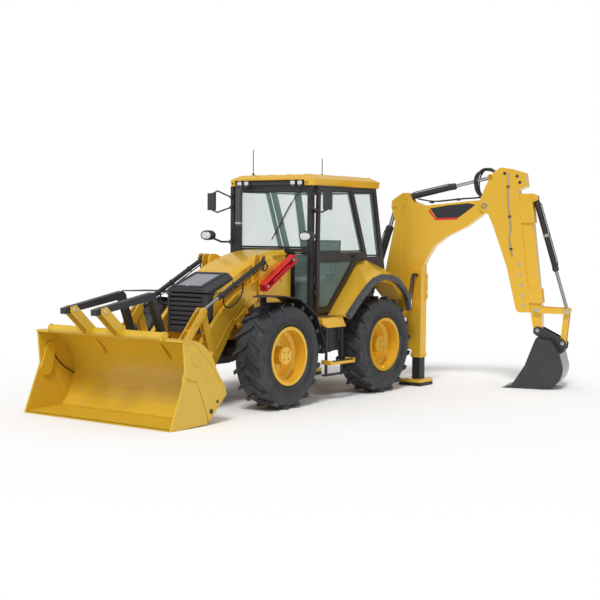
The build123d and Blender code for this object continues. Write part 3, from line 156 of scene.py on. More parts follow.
# ------------------------------------------------------------------ node helpers
class Nodes:
    """Short calls for one shader node tree."""

    def __init__(self, tree: bpy.types.NodeTree) -> None:
        """Keeps the tree that nodes are added to."""
        self.tree = tree

    def add(self, kind: str, **settings: object) -> bpy.types.Node:
        """Adds a node and sets its plain properties.

        Args:
            kind: Blender's type name of the node.
            **settings: properties set on it by name.

        Returns:
            The new node.
        """
        node = self.tree.nodes.new(kind)
        for name, value in settings.items():
            setattr(node, name, value)
        return node

    def link(self, source: Socket, target: Socket) -> None:
        """Joins two sockets."""
        self.tree.links.new(source, target)

    def group(self, name: str, place: Socket, values: dict[str, object]) -> bpy.types.Node:
        """Adds one of GROUPS, read at a place, with its other inputs set."""
        node = filled(self.add("ShaderNodeGroup", node_tree=GROUPS[name]), values)
        self.link(place, node.inputs["Position"])
        return node

    def noise(self, vector: Socket, scale: float, detail: float = 4.0) -> Socket:
        """Adds a noise pattern and returns its value socket."""
        node = filled(self.add("ShaderNodeTexNoise"), {"Scale": scale, "Detail": detail})
        self.link(vector, node.inputs["Vector"])
        return node.outputs["Fac"]

    def ramp(self, value: Socket, low: float, high: float,
             to_low: float = 0.0, to_high: float = 1.0) -> Socket:
        """Maps a value's range onto another, clamped, and returns the result."""
        node = filled(self.add("ShaderNodeMapRange"),
                      {"From Min": low, "From Max": high, "To Min": to_low, "To Max": to_high})
        self.link(value, node.inputs["Value"])
        return node.outputs["Result"]

    def maths(self, operation: str, first: Socket,
              second: Socket | float) -> Socket:
        """Adds a Math node on one or two sockets and returns its result."""
        node = self.add("ShaderNodeMath", operation=operation)
        self.link(first, node.inputs[0])
        if isinstance(second, (int, float)):
            node.inputs[1].default_value = second
        else:
            self.link(second, node.inputs[1])
        return node.outputs[0]


def shader_group(name: str, inputs: Sequence[tuple[str, str, object]],
                 outputs: Sequence[tuple[str, str]]
                 ) -> tuple[bpy.types.NodeTree, bpy.types.Node, bpy.types.Node]:
    """Makes an empty shader node group with named sockets.

    Args:
        name: the group's name.
        inputs: socket name, socket type and default value.
        outputs: socket name and socket type.

    Returns:
        The group, its input node and its output node.
    """
    group = bpy.data.node_groups.new(name, "ShaderNodeTree")
    for title, kind, default in inputs:
        socket = group.interface.new_socket(name=title, in_out="INPUT", socket_type=kind)
        if default is not None:
            socket.default_value = default
    for title, kind in outputs:
        group.interface.new_socket(name=title, in_out="OUTPUT", socket_type=kind)
    return group, group.nodes.new("NodeGroupInput"), group.nodes.new("NodeGroupOutput")


def road_dust_group() -> bpy.types.NodeTree:
    """Dust that settles low on the machine and in blotches: a mask from 0, clean, to 1, dusty."""
    group, given, out = shader_group("road_dust",
                                     [("Position", "NodeSocketVector", None), ("Height", "NodeSocketFloat",
                                      0.8), ("Amount", "NodeSocketFloat", 0.4)],
                                     [("Mask", "NodeSocketFloat")])
    nodes = Nodes(group)
    split = nodes.add("ShaderNodeSeparateXYZ")
    nodes.link(given.outputs["Position"], split.inputs[0])
    share = nodes.maths("DIVIDE", split.outputs["Z"], 1.0)
    nodes.link(given.outputs["Height"], share.node.inputs[1])
    low_down = nodes.ramp(share, 0.0, 1.0, 1.0, 0.08)
    blotch = nodes.ramp(nodes.noise(given.outputs["Position"], 7.0, 6.0), 0.42, 0.66)
    mask = nodes.maths("MULTIPLY", nodes.maths("MULTIPLY", low_down, blotch), given.outputs["Amount"])
    nodes.link(mask, out.inputs["Mask"])
    return group


def orange_peel_group() -> bpy.types.NodeTree:
    """Fine grain of a sprayed or moulded face: a height for bump and a roughness that varies with it."""
    group, given, out = shader_group(
        "fine_grain",
        [("Position", "NodeSocketVector", None), ("Scale", "NodeSocketFloat", 200.0),
         ("Roughness", "NodeSocketFloat", 0.4), ("Spread", "NodeSocketFloat", 0.1)],
        [("Height", "NodeSocketFloat"), ("Roughness", "NodeSocketFloat")])
    nodes = Nodes(group)
    fine = filled(nodes.add("ShaderNodeTexNoise"), {"Detail": 3.0})
    nodes.link(given.outputs["Position"], fine.inputs["Vector"])
    nodes.link(given.outputs["Scale"], fine.inputs["Scale"])
    nodes.link(fine.outputs["Fac"], out.inputs["Height"])
    broad = nodes.noise(given.outputs["Position"], 5.0, 5.0)
    offset = nodes.maths("SUBTRACT", broad, 0.5)
    change = nodes.maths("MULTIPLY", offset, given.outputs["Spread"])
    nodes.link(nodes.maths("ADD", change, given.outputs["Roughness"]), out.inputs["Roughness"])
    return group


def tint_group() -> bpy.types.NodeTree:
    """Slow change of shade over a painted or moulded face."""
    group, given, out = shader_group(
        "shade_drift",
        [("Position", "NodeSocketVector", None), ("Colour", "NodeSocketColor", (0.8, 0.8, 0.8, 1.0)),
         ("Dust colour", "NodeSocketColor", (0.3, 0.25, 0.2, 1.0)), ("Drift", "NodeSocketFloat", 0.08),
         ("Dust", "NodeSocketFloat", 0.0)],
        [("Colour", "NodeSocketColor")])
    nodes = Nodes(group)
    drift = nodes.noise(given.outputs["Position"], 2.2, 3.0)
    centred = nodes.maths("MULTIPLY", nodes.maths("SUBTRACT", drift, 0.5), given.outputs["Drift"])
    bright = nodes.maths("ADD", centred, 1.0)
    shade = nodes.add("ShaderNodeHueSaturation")
    nodes.link(bright, shade.inputs["Value"])
    nodes.link(given.outputs["Colour"], shade.inputs["Color"])
    mix = nodes.add("ShaderNodeMix", data_type="RGBA")
    nodes.link(given.outputs["Dust"], mix.inputs["Factor"])
    nodes.link(shade.outputs["Color"], mix.inputs["A"])
    nodes.link(given.outputs["Dust colour"], mix.inputs["B"])
    nodes.link(mix.outputs["Result"], out.inputs["Colour"])
    return group


DUST_COLOUR = (0.32, 0.27, 0.21, 1.0)
GROUPS = {"dust": road_dust_group(), "grain": orange_peel_group(), "tint": tint_group()}


# ------------------------------------------------------------------ finishes
def new_material(name: str) -> tuple[bpy.types.Material, Nodes, bpy.types.Node]:
    """Makes a material and gives its nodes and its shader with it."""
    made = bpy.data.materials.new(name)
    made.use_nodes = True
    return made, Nodes(made.node_tree), made.node_tree.nodes["Principled BSDF"]


@dataclass(frozen=True)
class Finish:
    """A surface finish, from which one material is built.

    Attributes:
        name: the material's name.
        slot: name of the record's material slot for this finish.
        colour: base colour, linear.
        roughness: middle roughness.
        metallic: 0 for paint and plastic, 1 for bare metal.
        coat: clear coat weight.
        grain: scale of the fine grain, in waves a metre.
        bump: depth of the grain, in millimetres.
        dust: how much road dust it carries.
        drift: how far its shade wanders.
        spread: how far its roughness wanders.
    """

    name: str
    slot: str
    colour: tuple[float, float, float]
    roughness: float = 0.4
    metallic: float = 0.0
    coat: float = 0.0
    grain: float = 220.0
    bump: float = 0.03
    dust: float = 0.0
    drift: float = 0.08
    spread: float = 0.12

    def material(self) -> bpy.types.Material:
        """Returns the material, built the first time it is asked for."""
        made = bpy.data.materials.get(self.name)
        if made is not None:
            return made
        made, nodes, shader = new_material(self.name)
        filled(shader, {"Metallic": self.metallic, "Coat Weight": self.coat, "Coat Roughness": 0.08})
        place = nodes.add("ShaderNodeTexCoord").outputs["Object"]
        dust = nodes.group("dust", place, {"Height": 1.5, "Amount": self.dust})
        tint = nodes.group("tint", place, {"Colour": (*self.colour, 1.0), "Dust colour": DUST_COLOUR,
                                           "Drift": self.drift})
        nodes.link(dust.outputs["Mask"], tint.inputs["Dust"])
        grain = nodes.group("grain", place, {"Scale": self.grain, "Roughness": self.roughness,
                                             "Spread": self.spread})
        rough = nodes.maths("ADD", grain.outputs["Roughness"], 0.0)
        extra = nodes.maths("MULTIPLY", dust.outputs["Mask"], 0.4)
        nodes.link(extra, rough.node.inputs[1])
        bump = filled(nodes.add("ShaderNodeBump"), {"Distance": self.bump * MM, "Strength": 0.7})
        nodes.link(self.relief(nodes, place, grain.outputs["Height"]), bump.inputs["Height"])
        nodes.link(self.pattern(nodes, place, tint.outputs["Colour"]), shader.inputs["Base Color"])
        nodes.link(rough, shader.inputs["Roughness"])
        nodes.link(bump.outputs["Normal"], shader.inputs["Normal"])
        return made

    def relief(self, nodes: Nodes, place: Socket, height: Socket) -> Socket:
        """Height that feeds the bump; a finish with a pattern of its own adds to it here."""
        return height

    def pattern(self, nodes: Nodes, place: Socket, colour: Socket) -> Socket:
        """Colour that feeds the shader; a finish with a pattern of its own changes it here."""
        return colour


@dataclass(frozen=True)
class TyreRubber(Finish):
    """Tyre rubber with rings on its side walls, round the axle at centre."""

    centre: tuple[float, float, float] = (0.0, 0.0, 0.0)

    def relief(self, nodes: Nodes, place: Socket, height: Socket) -> Socket:
        """Adds raised rings that follow the radius from the axle."""
        centred = filled(nodes.add("ShaderNodeMapping"),
                         {"Location": (-self.centre[0], 0.0, -self.centre[2]), "Scale": (1.0, 0.0, 1.0)})
        nodes.link(place, centred.inputs["Vector"])
        length = nodes.add("ShaderNodeVectorMath", operation="LENGTH")
        nodes.link(centred.outputs["Vector"], length.inputs[0])
        wave = nodes.maths("SINE", nodes.maths("MULTIPLY", length.outputs["Value"], 330.0), 0.0)
        rings = nodes.maths("MULTIPLY", nodes.ramp(wave, 0.5, 0.9), 3.0)
        near_rim = nodes.ramp(length.outputs["Value"], 0.50, 0.47)
        return nodes.maths("ADD", nodes.maths("MULTIPLY", rings, near_rim), height)

    def pattern(self, nodes: Nodes, place: Socket, colour: Socket) -> Socket:
        """Greys the tread and shoulder a little, as handled rubber is."""
        mix = nodes.add("ShaderNodeMix", data_type="RGBA")
        nodes.link(nodes.ramp(nodes.noise(place, 14.0, 8.0), 0.35, 0.75, 0.0, 0.5), mix.inputs["Factor"])
        nodes.link(colour, mix.inputs["A"])
        mix.inputs["B"].default_value = (0.060, 0.064, 0.074, 1.0)
        return mix.outputs["Result"]


@dataclass(frozen=True)
class WovenCloth(Finish):
    """Seat cloth with a fine woven bump."""

    def relief(self, nodes: Nodes, place: Socket, height: Socket) -> Socket:
        """Adds crossing threads."""
        waves = []
        for axis in ("X", "Y", "Z"):
            wave = filled(nodes.add("ShaderNodeTexWave", bands_direction=axis), {"Scale": 180.0})
            nodes.link(place, wave.inputs["Vector"])
            waves.append(wave.outputs["Fac"])
        woven = nodes.maths("MULTIPLY", nodes.maths("MULTIPLY", waves[0], waves[1]), waves[2])
        return nodes.maths("ADD", nodes.maths("MULTIPLY", woven, 2.0), height)


@dataclass(frozen=True)
class ClearFinish:
    """Glass or a lamp's clear lens."""

    name: str
    slot: str
    colour: tuple[float, float, float]
    roughness: float = 0.02
    alpha: float = 0.3

    def material(self) -> bpy.types.Material:
        """Returns the material, built the first time it is asked for."""
        made = bpy.data.materials.get(self.name)
        if made is not None:
            return made
        made, nodes, shader = new_material(self.name)
        filled(shader, {"IOR": 1.45, "Coat Weight": 0.3})
        place = nodes.add("ShaderNodeTexCoord").outputs["Object"]
        tint = nodes.group("tint", place, {"Colour": (*self.colour, 1.0), "Drift": 0.06})
        nodes.link(tint.outputs["Colour"], shader.inputs["Base Color"])
        smear = nodes.ramp(nodes.noise(place, 3.0, 5.0), 0.4, 0.8, self.roughness, self.roughness + 0.06)
        nodes.link(smear, shader.inputs["Roughness"])
        nodes.link(nodes.ramp(nodes.noise(place, 1.5, 2.0), 0.3, 0.7, self.alpha - 0.02, self.alpha + 0.04),
                   shader.inputs["Alpha"])
        return made


YELLOW = Finish("yellow_paint", "yellow_paint", (0.68, 0.452, 0.030), roughness=0.34, coat=0.35, bump=0.02,
                dust=0.10, drift=0.10)
BUCKET_YELLOW = Finish("bucket_paint", "yellow_paint", (0.67, 0.425, 0.022), roughness=0.38, coat=0.25,
                       bump=0.03, dust=0.12, drift=0.14)
BLACK_PAINT = Finish("black_paint", "black_paint", (0.009, 0.010, 0.012), roughness=0.28, coat=0.3, bump=0.02,
                     dust=0.015)
BLACK_PLASTIC = Finish("black_plastic", "black_plastic", (0.015, 0.017, 0.020), roughness=0.48, grain=900.0,
                       bump=0.06, dust=0.03)
TRIM_GREY = Finish("trim_grey", "black_plastic", (0.060, 0.066, 0.075), roughness=0.50, grain=700.0,
                   bump=0.05, dust=0.08)
RED_PAINT = Finish("red_paint", "red_paint", (0.70, 0.012, 0.018), roughness=0.30, coat=0.4, bump=0.02,
                   dust=0.03)
CASTING = Finish("dark_casting", "dark_casting", (0.045, 0.045, 0.047), roughness=0.62, metallic=0.2,
                 grain=260.0, bump=0.20, dust=0.25)
CHROME = Finish("chrome_rod", "chrome", (0.50, 0.51, 0.53), roughness=0.10, metallic=1.0, grain=400.0,
                bump=0.004, drift=0.03)
STEEL = Finish("pin_steel", "chrome", (0.55, 0.56, 0.57), roughness=0.30, metallic=1.0, grain=300.0,
               bump=0.02, drift=0.05)
HOSE = Finish("hose_rubber", "black_plastic", (0.015, 0.015, 0.017), roughness=0.45, grain=1200.0, bump=0.05)
LINING = Finish("cab_lining", "black_plastic", (0.16, 0.17, 0.18), roughness=0.65, grain=600.0, bump=0.05)
SEAT_CLOTH = WovenCloth("seat_cloth", "seat_cloth", (0.19, 0.20, 0.22), roughness=0.85, bump=0.25, drift=0.12)
BUCKET_GREY = Finish("hoe_bucket_paint", "black_paint", (0.015, 0.017, 0.020), roughness=0.30, coat=0.4,
                     bump=0.03, dust=0.03)
REFLECTOR = Finish("lamp_reflector", "chrome", (0.86, 0.87, 0.88), roughness=0.14, metallic=1.0, grain=90.0,
                   bump=0.5)
TYRE_TRIM = Finish("tyre_trim", "tyre", (0.030, 0.032, 0.038), roughness=0.7, grain=420.0, bump=0.2,
                   dust=0.15)
NOSE_GREY = Finish("nose_grey", "black_plastic", (0.22, 0.235, 0.26), roughness=0.32, coat=0.25, grain=500.0,
                   bump=0.02, dust=0.05)
MIRROR = Finish("mirror_glass", "chrome", (0.90, 0.91, 0.92), roughness=0.03, metallic=1.0, grain=60.0,
                bump=0.002, drift=0.02)
GLASS = ClearFinish("cab_glass", "glass", (0.42, 0.66, 0.64), alpha=0.13)
LENS = ClearFinish("lamp_lens", "glass", (0.92, 0.94, 0.95), roughness=0.05, alpha=0.35)


# ------------------------------------------------------------------ mesh helpers
def finish_piece(name: str, mesh: bpy.types.Mesh, finish: Finish | ClearFinish, body: str | None,
                 slot_name: str | None = None, smooth_deg: float = 35.0) -> bpy.types.Object:
    """Turns a mesh into a piece that rides on a body.

    Args:
        name: the piece's name.
        mesh: its mesh, already in the frame's metres.
        finish: its surface.
        body: the CAD body that it moves with, or None where it rides on no body.
        slot_name: not used.
        smooth_deg: edges flatter than this are shaded smooth.

    Returns:
        The finished object.
    """
    piece = placed(name, mesh)
    mesh.materials.clear()
    mesh.materials.append(finish.material())
    for polygon in mesh.polygons:
        polygon.use_smooth = True
    mesh.set_sharp_from_angle(angle=math.radians(smooth_deg))
    if body:
        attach(piece, body)
    return piece


def shaped(name: str, body: str | None, finish: Finish, *makers: Maker, slot_name: str | None = None,
           smooth_deg: float = 35.0) -> bpy.types.Object:
    """Joins what makers shape into one piece with its finish."""
    return finish_piece(name, joined(name, makers), finish, body, slot_name or finish.slot, smooth_deg)


def joined(name: str, parts: Iterable[Maker]) -> bpy.types.Mesh:
    """Runs several makers on one bmesh and returns the clean mesh."""
    bm = bmesh.new()
    for part in parts:
        part(bm)
    bmesh.ops.remove_doubles(bm, verts=bm.verts, dist=1e-6)
    bmesh.ops.recalc_face_normals(bm, faces=bm.faces)
    mesh = bpy.data.meshes.new(name)
    bm.to_mesh(mesh)
    bm.free()
    return mesh


def loop_skin(rings: Sequence[Sequence[Vector]], closed: bool = False) -> Maker:
    """Maker of a skin through rings of equal count, capped at both ends unless it closes on itself."""

    def make(bm: bmesh.types.BMesh) -> None:
        """Adds the skin to the bmesh."""
        loops = [[bm.verts.new(point) for point in ring] for ring in rings]
        count = len(loops[0])
        pairs = list(zip(loops, loops[1:]))
        if closed:
            pairs.append((loops[-1], loops[0]))
        for first, second in pairs:
            for i in range(count):
                j = (i + 1) % count
                bm.faces.new((first[i], first[j], second[j], second[i]))
        if not closed:
            bm.faces.new(list(reversed(loops[0])))
            bm.faces.new(loops[-1])

    return make


def plate(outline: Sequence[Point], place: Callable[..., Vector], first: float, second: float,
          bevel: float = 0.0) -> Maker:
    """Maker of a flat plate of an outline, between two offsets from its plane.

    Args:
        outline: (a, b) points in the plane.
        place: gives the place of a point from a, b and the offset.
        first: offset of one face.
        second: offset of the other face.
        bevel: width of the chamfer at its edges, in metres.

    Returns:
        The maker.
    """

    def make(bm: bmesh.types.BMesh) -> None:
        """Adds the plate to the bmesh."""
        rings = [[place(a, b, offset) for a, b in outline] for offset in sorted((first, second))]
        before = set(bm.verts)
        loop_skin(rings)(bm)
        if bevel:
            edges = [edge for edge in bm.edges if edge.verts[0] not in before]
            bmesh.ops.bevel(bm, geom=edges, offset=bevel, segments=2, affect="EDGES", clamp_overlap=True)

    return make


def side_place(a: float, b: float, offset: float) -> Vector:
    """Place of side-view point (x, z) at y = offset."""
    return PLACE.at(a, offset, b)


def front_place(a: float, b: float, offset: float) -> Vector:
    """Place of front-view point (y, z) at x = offset."""
    return PLACE.at(offset, a, b)


def lathe(profile: Sequence[tuple[float, float]], centre: Vector, axis: Vector,
          segments: int = 32) -> Maker:
    """Maker of a turned shape.

    Args:
        profile: (radius, distance along the axis) in metres, closed on itself or ending on the axis.
        centre: where the axis starts.
        axis: its direction.
        segments: faces round the axis.
    """
    along = axis.normalized()
    first = along.orthogonal().normalized()
    second = along.cross(first)

    def make(bm: bmesh.types.BMesh) -> None:
        """Adds the turned shape to the bmesh."""
        rings = []
        for radius, distance in profile:
            base = centre + along * distance
            if radius < 1e-6:
                rings.append([bm.verts.new(base)])
                continue
            rings.append([bm.verts.new(base + (first * math.cos(t) + second * math.sin(t)) * radius)
                          for t in (2 * math.pi * i / segments for i in range(segments))])
        for ring, following in zip(rings, rings[1:]):
            for i in range(segments):
                j = (i + 1) % segments
                if len(ring) == 1:
                    bm.faces.new((ring[0], following[j], following[i]))
                elif len(following) == 1:
                    bm.faces.new((ring[i], ring[j], following[0]))
                else:
                    bm.faces.new((ring[i], ring[j], following[j], following[i]))
        if len(rings[0]) > 1 and len(rings[-1]) > 1 and tuple(profile[0]) != tuple(profile[-1]):
            bm.faces.new(list(reversed(rings[0])))
            bm.faces.new(rings[-1])

    return make


def pipe(points: Sequence[Vector], radius: float, sides: int = 12, smooth: bool = True) -> Maker:
    """Maker of a round tube along a smooth line through points.

    Args:
        points: the line's control points, in metres.
        radius: the tube's radius in metres.
        sides: faces round the tube.
        smooth: whether the line is rounded between its points.
    """

    def make(bm: bmesh.types.BMesh) -> None:
        """Adds the tube to the bmesh."""
        line = list(points)
        if smooth and len(line) > 2:
            curve = bpy.data.curves.new("line", "CURVE")
            curve.dimensions = "3D"
            spline = curve.splines.new("NURBS")
            spline.points.add(len(line) - 1)
            for slot_point, point in zip(spline.points, line):
                slot_point.co = (*point, 1.0)
            spline.order_u = 3
            spline.use_endpoint_u = True
            curve.resolution_u = 8
            holder = placed("line", curve)
            mesh = bpy.data.meshes.new_from_object(holder)
            line = [vertex.co.copy() for vertex in mesh.vertices]
            bpy.data.objects.remove(holder)
            bpy.data.meshes.remove(mesh)
            bpy.data.curves.remove(curve)
        across = None
        rings = []
        for i, point in enumerate(line):
            heading = (line[min(i + 1, len(line) - 1)] - line[max(i - 1, 0)]).normalized()
            if across is None:
                across = heading.orthogonal().normalized()
            across = (across - heading * across.dot(heading)).normalized()
            third = heading.cross(across)
            rings.append([point + (across * math.cos(t) + third * math.sin(t)) * radius
                          for t in (2 * math.pi * k / sides for k in range(sides))])
        loop_skin(rings)(bm)

    return make


# ------------------------------------------------------------------ geometry nodes
class FastenerTree:
    """Geometry Nodes tree that sets a hexagon head and its washer on each point of a mesh."""

    def __init__(self) -> None:
        """Builds the tree with named inputs for its sizes."""
        tree = bpy.data.node_groups.new("fasteners", "GeometryNodeTree")
        self.tree = tree
        face = tree.interface
        self.sockets = {}
        face.new_socket(name="Points", in_out="INPUT", socket_type="NodeSocketGeometry")
        for name, default in (("Head radius", 0.012), ("Head height", 0.009), ("Washer radius", 0.018)):
            socket = face.new_socket(name=name, in_out="INPUT", socket_type="NodeSocketFloat")
            socket.default_value = default
            self.sockets[name] = socket.identifier
        socket = face.new_socket(name="Material", in_out="INPUT", socket_type="NodeSocketMaterial")
        self.sockets["Material"] = socket.identifier
        face.new_socket(name="Fasteners", in_out="OUTPUT", socket_type="NodeSocketGeometry")
        nodes = Nodes(tree)
        given = nodes.add("NodeGroupInput")
        out = nodes.add("NodeGroupOutput")
        head = filled(nodes.add("GeometryNodeMeshCylinder"), {"Vertices": 6})
        nodes.link(given.outputs["Head radius"], head.inputs["Radius"])
        nodes.link(given.outputs["Head height"], head.inputs["Depth"])
        washer = filled(nodes.add("GeometryNodeMeshCylinder"), {"Vertices": 14, "Depth": 0.003})
        nodes.link(given.outputs["Washer radius"], washer.inputs["Radius"])
        raise_head = nodes.add("GeometryNodeTransform")
        offset = nodes.add("ShaderNodeCombineXYZ")
        half = nodes.maths("MULTIPLY", given.outputs["Head height"], 0.5)
        nodes.link(half, offset.inputs["Z"])
        nodes.link(offset.outputs[0], raise_head.inputs["Translation"])
        nodes.link(head.outputs["Mesh"], raise_head.inputs["Geometry"])
        both = nodes.add("GeometryNodeJoinGeometry")
        nodes.link(raise_head.outputs["Geometry"], both.inputs[0])
        nodes.link(washer.outputs["Mesh"], both.inputs[0])
        facing = filled(nodes.add("GeometryNodeInputNamedAttribute", data_type="FLOAT_VECTOR"),
                        {"Name": "facing"})
        turn = nodes.add("FunctionNodeAlignRotationToVector", axis="Z")
        nodes.link(facing.outputs["Attribute"], turn.inputs["Vector"])
        place = nodes.add("GeometryNodeInstanceOnPoints")
        nodes.link(given.outputs["Points"], place.inputs["Points"])
        nodes.link(both.outputs[0], place.inputs["Instance"])
        nodes.link(turn.outputs["Rotation"], place.inputs["Rotation"])
        real = nodes.add("GeometryNodeRealizeInstances")
        nodes.link(place.outputs["Instances"], real.inputs[0])
        dress = nodes.add("GeometryNodeSetMaterial")
        nodes.link(real.outputs[0], dress.inputs["Geometry"])
        nodes.link(given.outputs["Material"], dress.inputs["Material"])
        nodes.link(dress.outputs["Geometry"], out.inputs[0])

    def make(self, name: str, places: Sequence[tuple[Vector, Vector]], finish: Finish, body: str,
             radius: float) -> bpy.types.Object:
        """Makes one joined mesh of fasteners.

        Args:
            name: the piece's name.
            places: where each sits and the way it faces.
            finish: its surface.
            body: the CAD body it rides on.
            radius: radius of the hexagon head in metres.

        Returns:
            The finished piece.
        """
        points = bpy.data.meshes.new(name + "_points")
        points.from_pydata([tuple(place) for place, _ in places], [], [])
        facing = points.attributes.new("facing", "FLOAT_VECTOR", "POINT")
        for i, (_, way) in enumerate(places):
            facing.data[i].vector = way
        holder = placed(name + "_points", points)
        modifier = holder.modifiers.new("fasteners", "NODES")
        modifier.node_group = self.tree
        for title, value in (("Head radius", radius), ("Head height", radius * 0.75),
                             ("Washer radius", radius * 1.5), ("Material", finish.material())):
            modifier[self.sockets[title]] = value
        mesh = baked(holder)
        bpy.data.objects.remove(holder)
        return finish_piece(name, mesh, finish, body, finish.slot, smooth_deg=30)


# ------------------------------------------------------------------ studio
@dataclass
class Studio:
    """Pale floor, plain white surroundings, one soft sun and the camera.

    Attributes:
        eye: the camera's place on the machine's axes, in millimetres.
        light_share: strength of the background as a light, where the camera sees 1.
        floor_fade: distances from the middle, in metres, between which the floor turns white.
        sun_from: the way towards the sun.
    """

    eye: tuple[float, float, float] = (14882.0, 10693.0, 2266.0)
    yaw_deg: float = 36.57
    pitch_deg: float = 3.20
    roll_deg: float = 0.446
    lens_mm: float = 76.26
    light_share: float = 0.60
    floor_radius: float = 60.0
    floor_fade: tuple[float, float] = (4.2, 7.5)
    sun_strength: float = 1.95
    sun_angle_deg: float = 16.0
    sun_from: tuple[float, float, float] = (0.75, 0.35, 1.0)

    def build(self) -> None:
        """Builds everything that isn't part of the machine."""
        self.build_world()
        self.build_floor()
        self.build_sun()
        self.build_camera()
        bpy.context.scene.view_settings.view_transform = "Standard"

    def build_world(self) -> None:
        """White background: full for the camera and through glass, softer as a light."""
        world = bpy.data.worlds.new("studio")
        bpy.context.scene.world = world
        world.use_nodes = True
        nodes = Nodes(world.node_tree)
        background = world.node_tree.nodes["Background"]
        background.inputs["Color"].default_value = (1.0, 1.0, 1.0, 1.0)
        rays = nodes.add("ShaderNodeLightPath")
        seen = nodes.maths("MAXIMUM", rays.outputs["Is Camera Ray"], 0.0)
        nodes.link(rays.outputs["Is Transmission Ray"], seen.node.inputs[1])
        nodes.link(nodes.ramp(seen, 0.0, 1.0, self.light_share, 1.0), background.inputs["Strength"])

    def build_floor(self) -> None:
        """Round floor whose outer part turns into the white of the background."""
        bm = bmesh.new()
        bmesh.ops.create_circle(bm, cap_ends=True, segments=96, radius=self.floor_radius)
        mesh = bpy.data.meshes.new("floor")
        bm.to_mesh(mesh)
        bm.free()
        floor = placed("floor", mesh)
        floor.location = (0.0, 0.0, PLACE.box[0].z - 0.001)
        made, nodes, shader = new_material("floor")
        filled(shader, {"Base Color": (0.93, 0.93, 0.93, 1.0), "Roughness": 0.9, "Specular IOR Level": 0.1})
        glow = nodes.add("ShaderNodeEmission")
        mix = nodes.add("ShaderNodeMixShader")
        length = nodes.add("ShaderNodeVectorMath", operation="LENGTH")
        nodes.link(nodes.add("ShaderNodeTexCoord").outputs["Object"], length.inputs[0])
        nodes.link(nodes.ramp(length.outputs["Value"], *self.floor_fade), mix.inputs[0])
        nodes.link(shader.outputs[0], mix.inputs[1])
        nodes.link(glow.outputs[0], mix.inputs[2])
        nodes.link(mix.outputs[0], made.node_tree.nodes["Material Output"].inputs["Surface"])
        mesh.materials.append(made)
        floor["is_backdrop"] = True

    def build_sun(self) -> None:
        """Soft sun from the front and above."""
        light = bpy.data.lights.new("sun", "SUN")
        light.energy = self.sun_strength
        light.angle = math.radians(self.sun_angle_deg)
        sun = placed("sun", light)
        sun.rotation_euler = Vector(self.sun_from).to_track_quat("Z", "Y").to_euler()
        sun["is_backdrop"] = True

    def build_camera(self) -> None:
        """Camera at the photo's angle."""
        yaw, pitch, roll = (math.radians(angle) for angle in (self.yaw_deg, self.pitch_deg, self.roll_deg))
        ahead = Vector((-math.cos(yaw) * math.cos(pitch), -math.sin(yaw) * math.cos(pitch), -math.sin(pitch)))
        right = ahead.cross(Vector((0.0, 0.0, 1.0))).normalized()
        up = right.cross(ahead)
        turned_right = math.cos(roll) * right + math.sin(roll) * up
        turned_up = math.cos(roll) * up - math.sin(roll) * right
        lens = bpy.data.cameras.new("camera")
        lens.lens = self.lens_mm
        lens.sensor_width = 36.0
        camera = placed("camera", lens)
        axes = Matrix((turned_right, turned_up, -ahead)).transposed()
        camera.matrix_world = Matrix.Translation(PLACE.at(*self.eye)) @ axes.to_4x4()
        bpy.context.scene.camera = camera
        camera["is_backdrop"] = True


# ------------------------------------------------------------------ CAD nodes
@dataclass
class NodeDresser:
    """Gives every CAD node its finish."""

    by_name: dict[str, Finish | ClearFinish] = field(default_factory=lambda: {
        "axle_beams": CASTING, "main_frame": YELLOW, "engine_block": CASTING, "hood": YELLOW,
        "hood_nose": BLACK_PLASTIC, "grille": BLACK_PLASTIC, "cab_shell": BLACK_PAINT, "cab_glass": GLASS,
        "cab_roof": YELLOW, "lamps": BLACK_PLASTIC, "mirrors_antennas": BLACK_PLASTIC,
        "cab_interior": BLACK_PLASTIC, "seat": BLACK_PLASTIC, "rear_fenders": YELLOW,
        "tanks_and_steps": BLACK_PAINT, "exhaust_stack": TRIM_GREY, "loader_arms": YELLOW,
        "lift_barrels": BLACK_PAINT, "lift_rods": CHROME, "tilt_barrels": BLACK_PAINT, "tilt_rods": CHROME,
        "tilt_levers": YELLOW, "bucket_links": YELLOW, "loader_bucket": BUCKET_YELLOW,
        "bucket_clam": BUCKET_YELLOW, "lift_lock_strut": RED_PAINT, "sideshift_carriage": YELLOW,
        "swing_post": YELLOW, "boom": YELLOW, "stick": YELLOW, "extension_stick": YELLOW,
        "hoe_lever": YELLOW, "hoe_link": YELLOW, "hoe_bucket": BUCKET_GREY})
    by_start: tuple[tuple[str, Finish | ClearFinish], ...] = (
        ("rim_", YELLOW), ("knuckle_front", BLACK_PAINT), ("knuckle_rear", CASTING), ("door_glass", GLASS),
        ("door_", BLACK_PAINT), ("stabiliser_leg", BLACK_PAINT), ("fork_", BLACK_PAINT))

    def finish_for(self, name: str) -> Finish | ClearFinish:
        """Finds the finish of a node by its name, its start or its end."""
        if name in self.by_name:
            return self.by_name[name]
        if name.startswith("tyre_"):
            low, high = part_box(name)
            centre = (low + high) / 2
            return TyreRubber(f"tyre_rubber_{name[5:]}", "tyre", (0.022, 0.024, 0.029), roughness=0.62,
                              grain=420.0, bump=0.25, dust=0.10, centre=(centre.x, centre.y, centre.z))
        for start, finish in self.by_start:
            if name.startswith(start):
                return finish
        if name.endswith("barrel"):
            return BLACK_PAINT
        if name.endswith("rod"):
            return CHROME
        return YELLOW

    def build(self) -> None:
        """Assigns the finishes to the nodes' material slots."""
        for name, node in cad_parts.items():
            made = self.finish_for(name).material()
            if not node.material_slots:
                node.data.materials.append(made)
            for node_slot in node.material_slots:
                node_slot.material = made


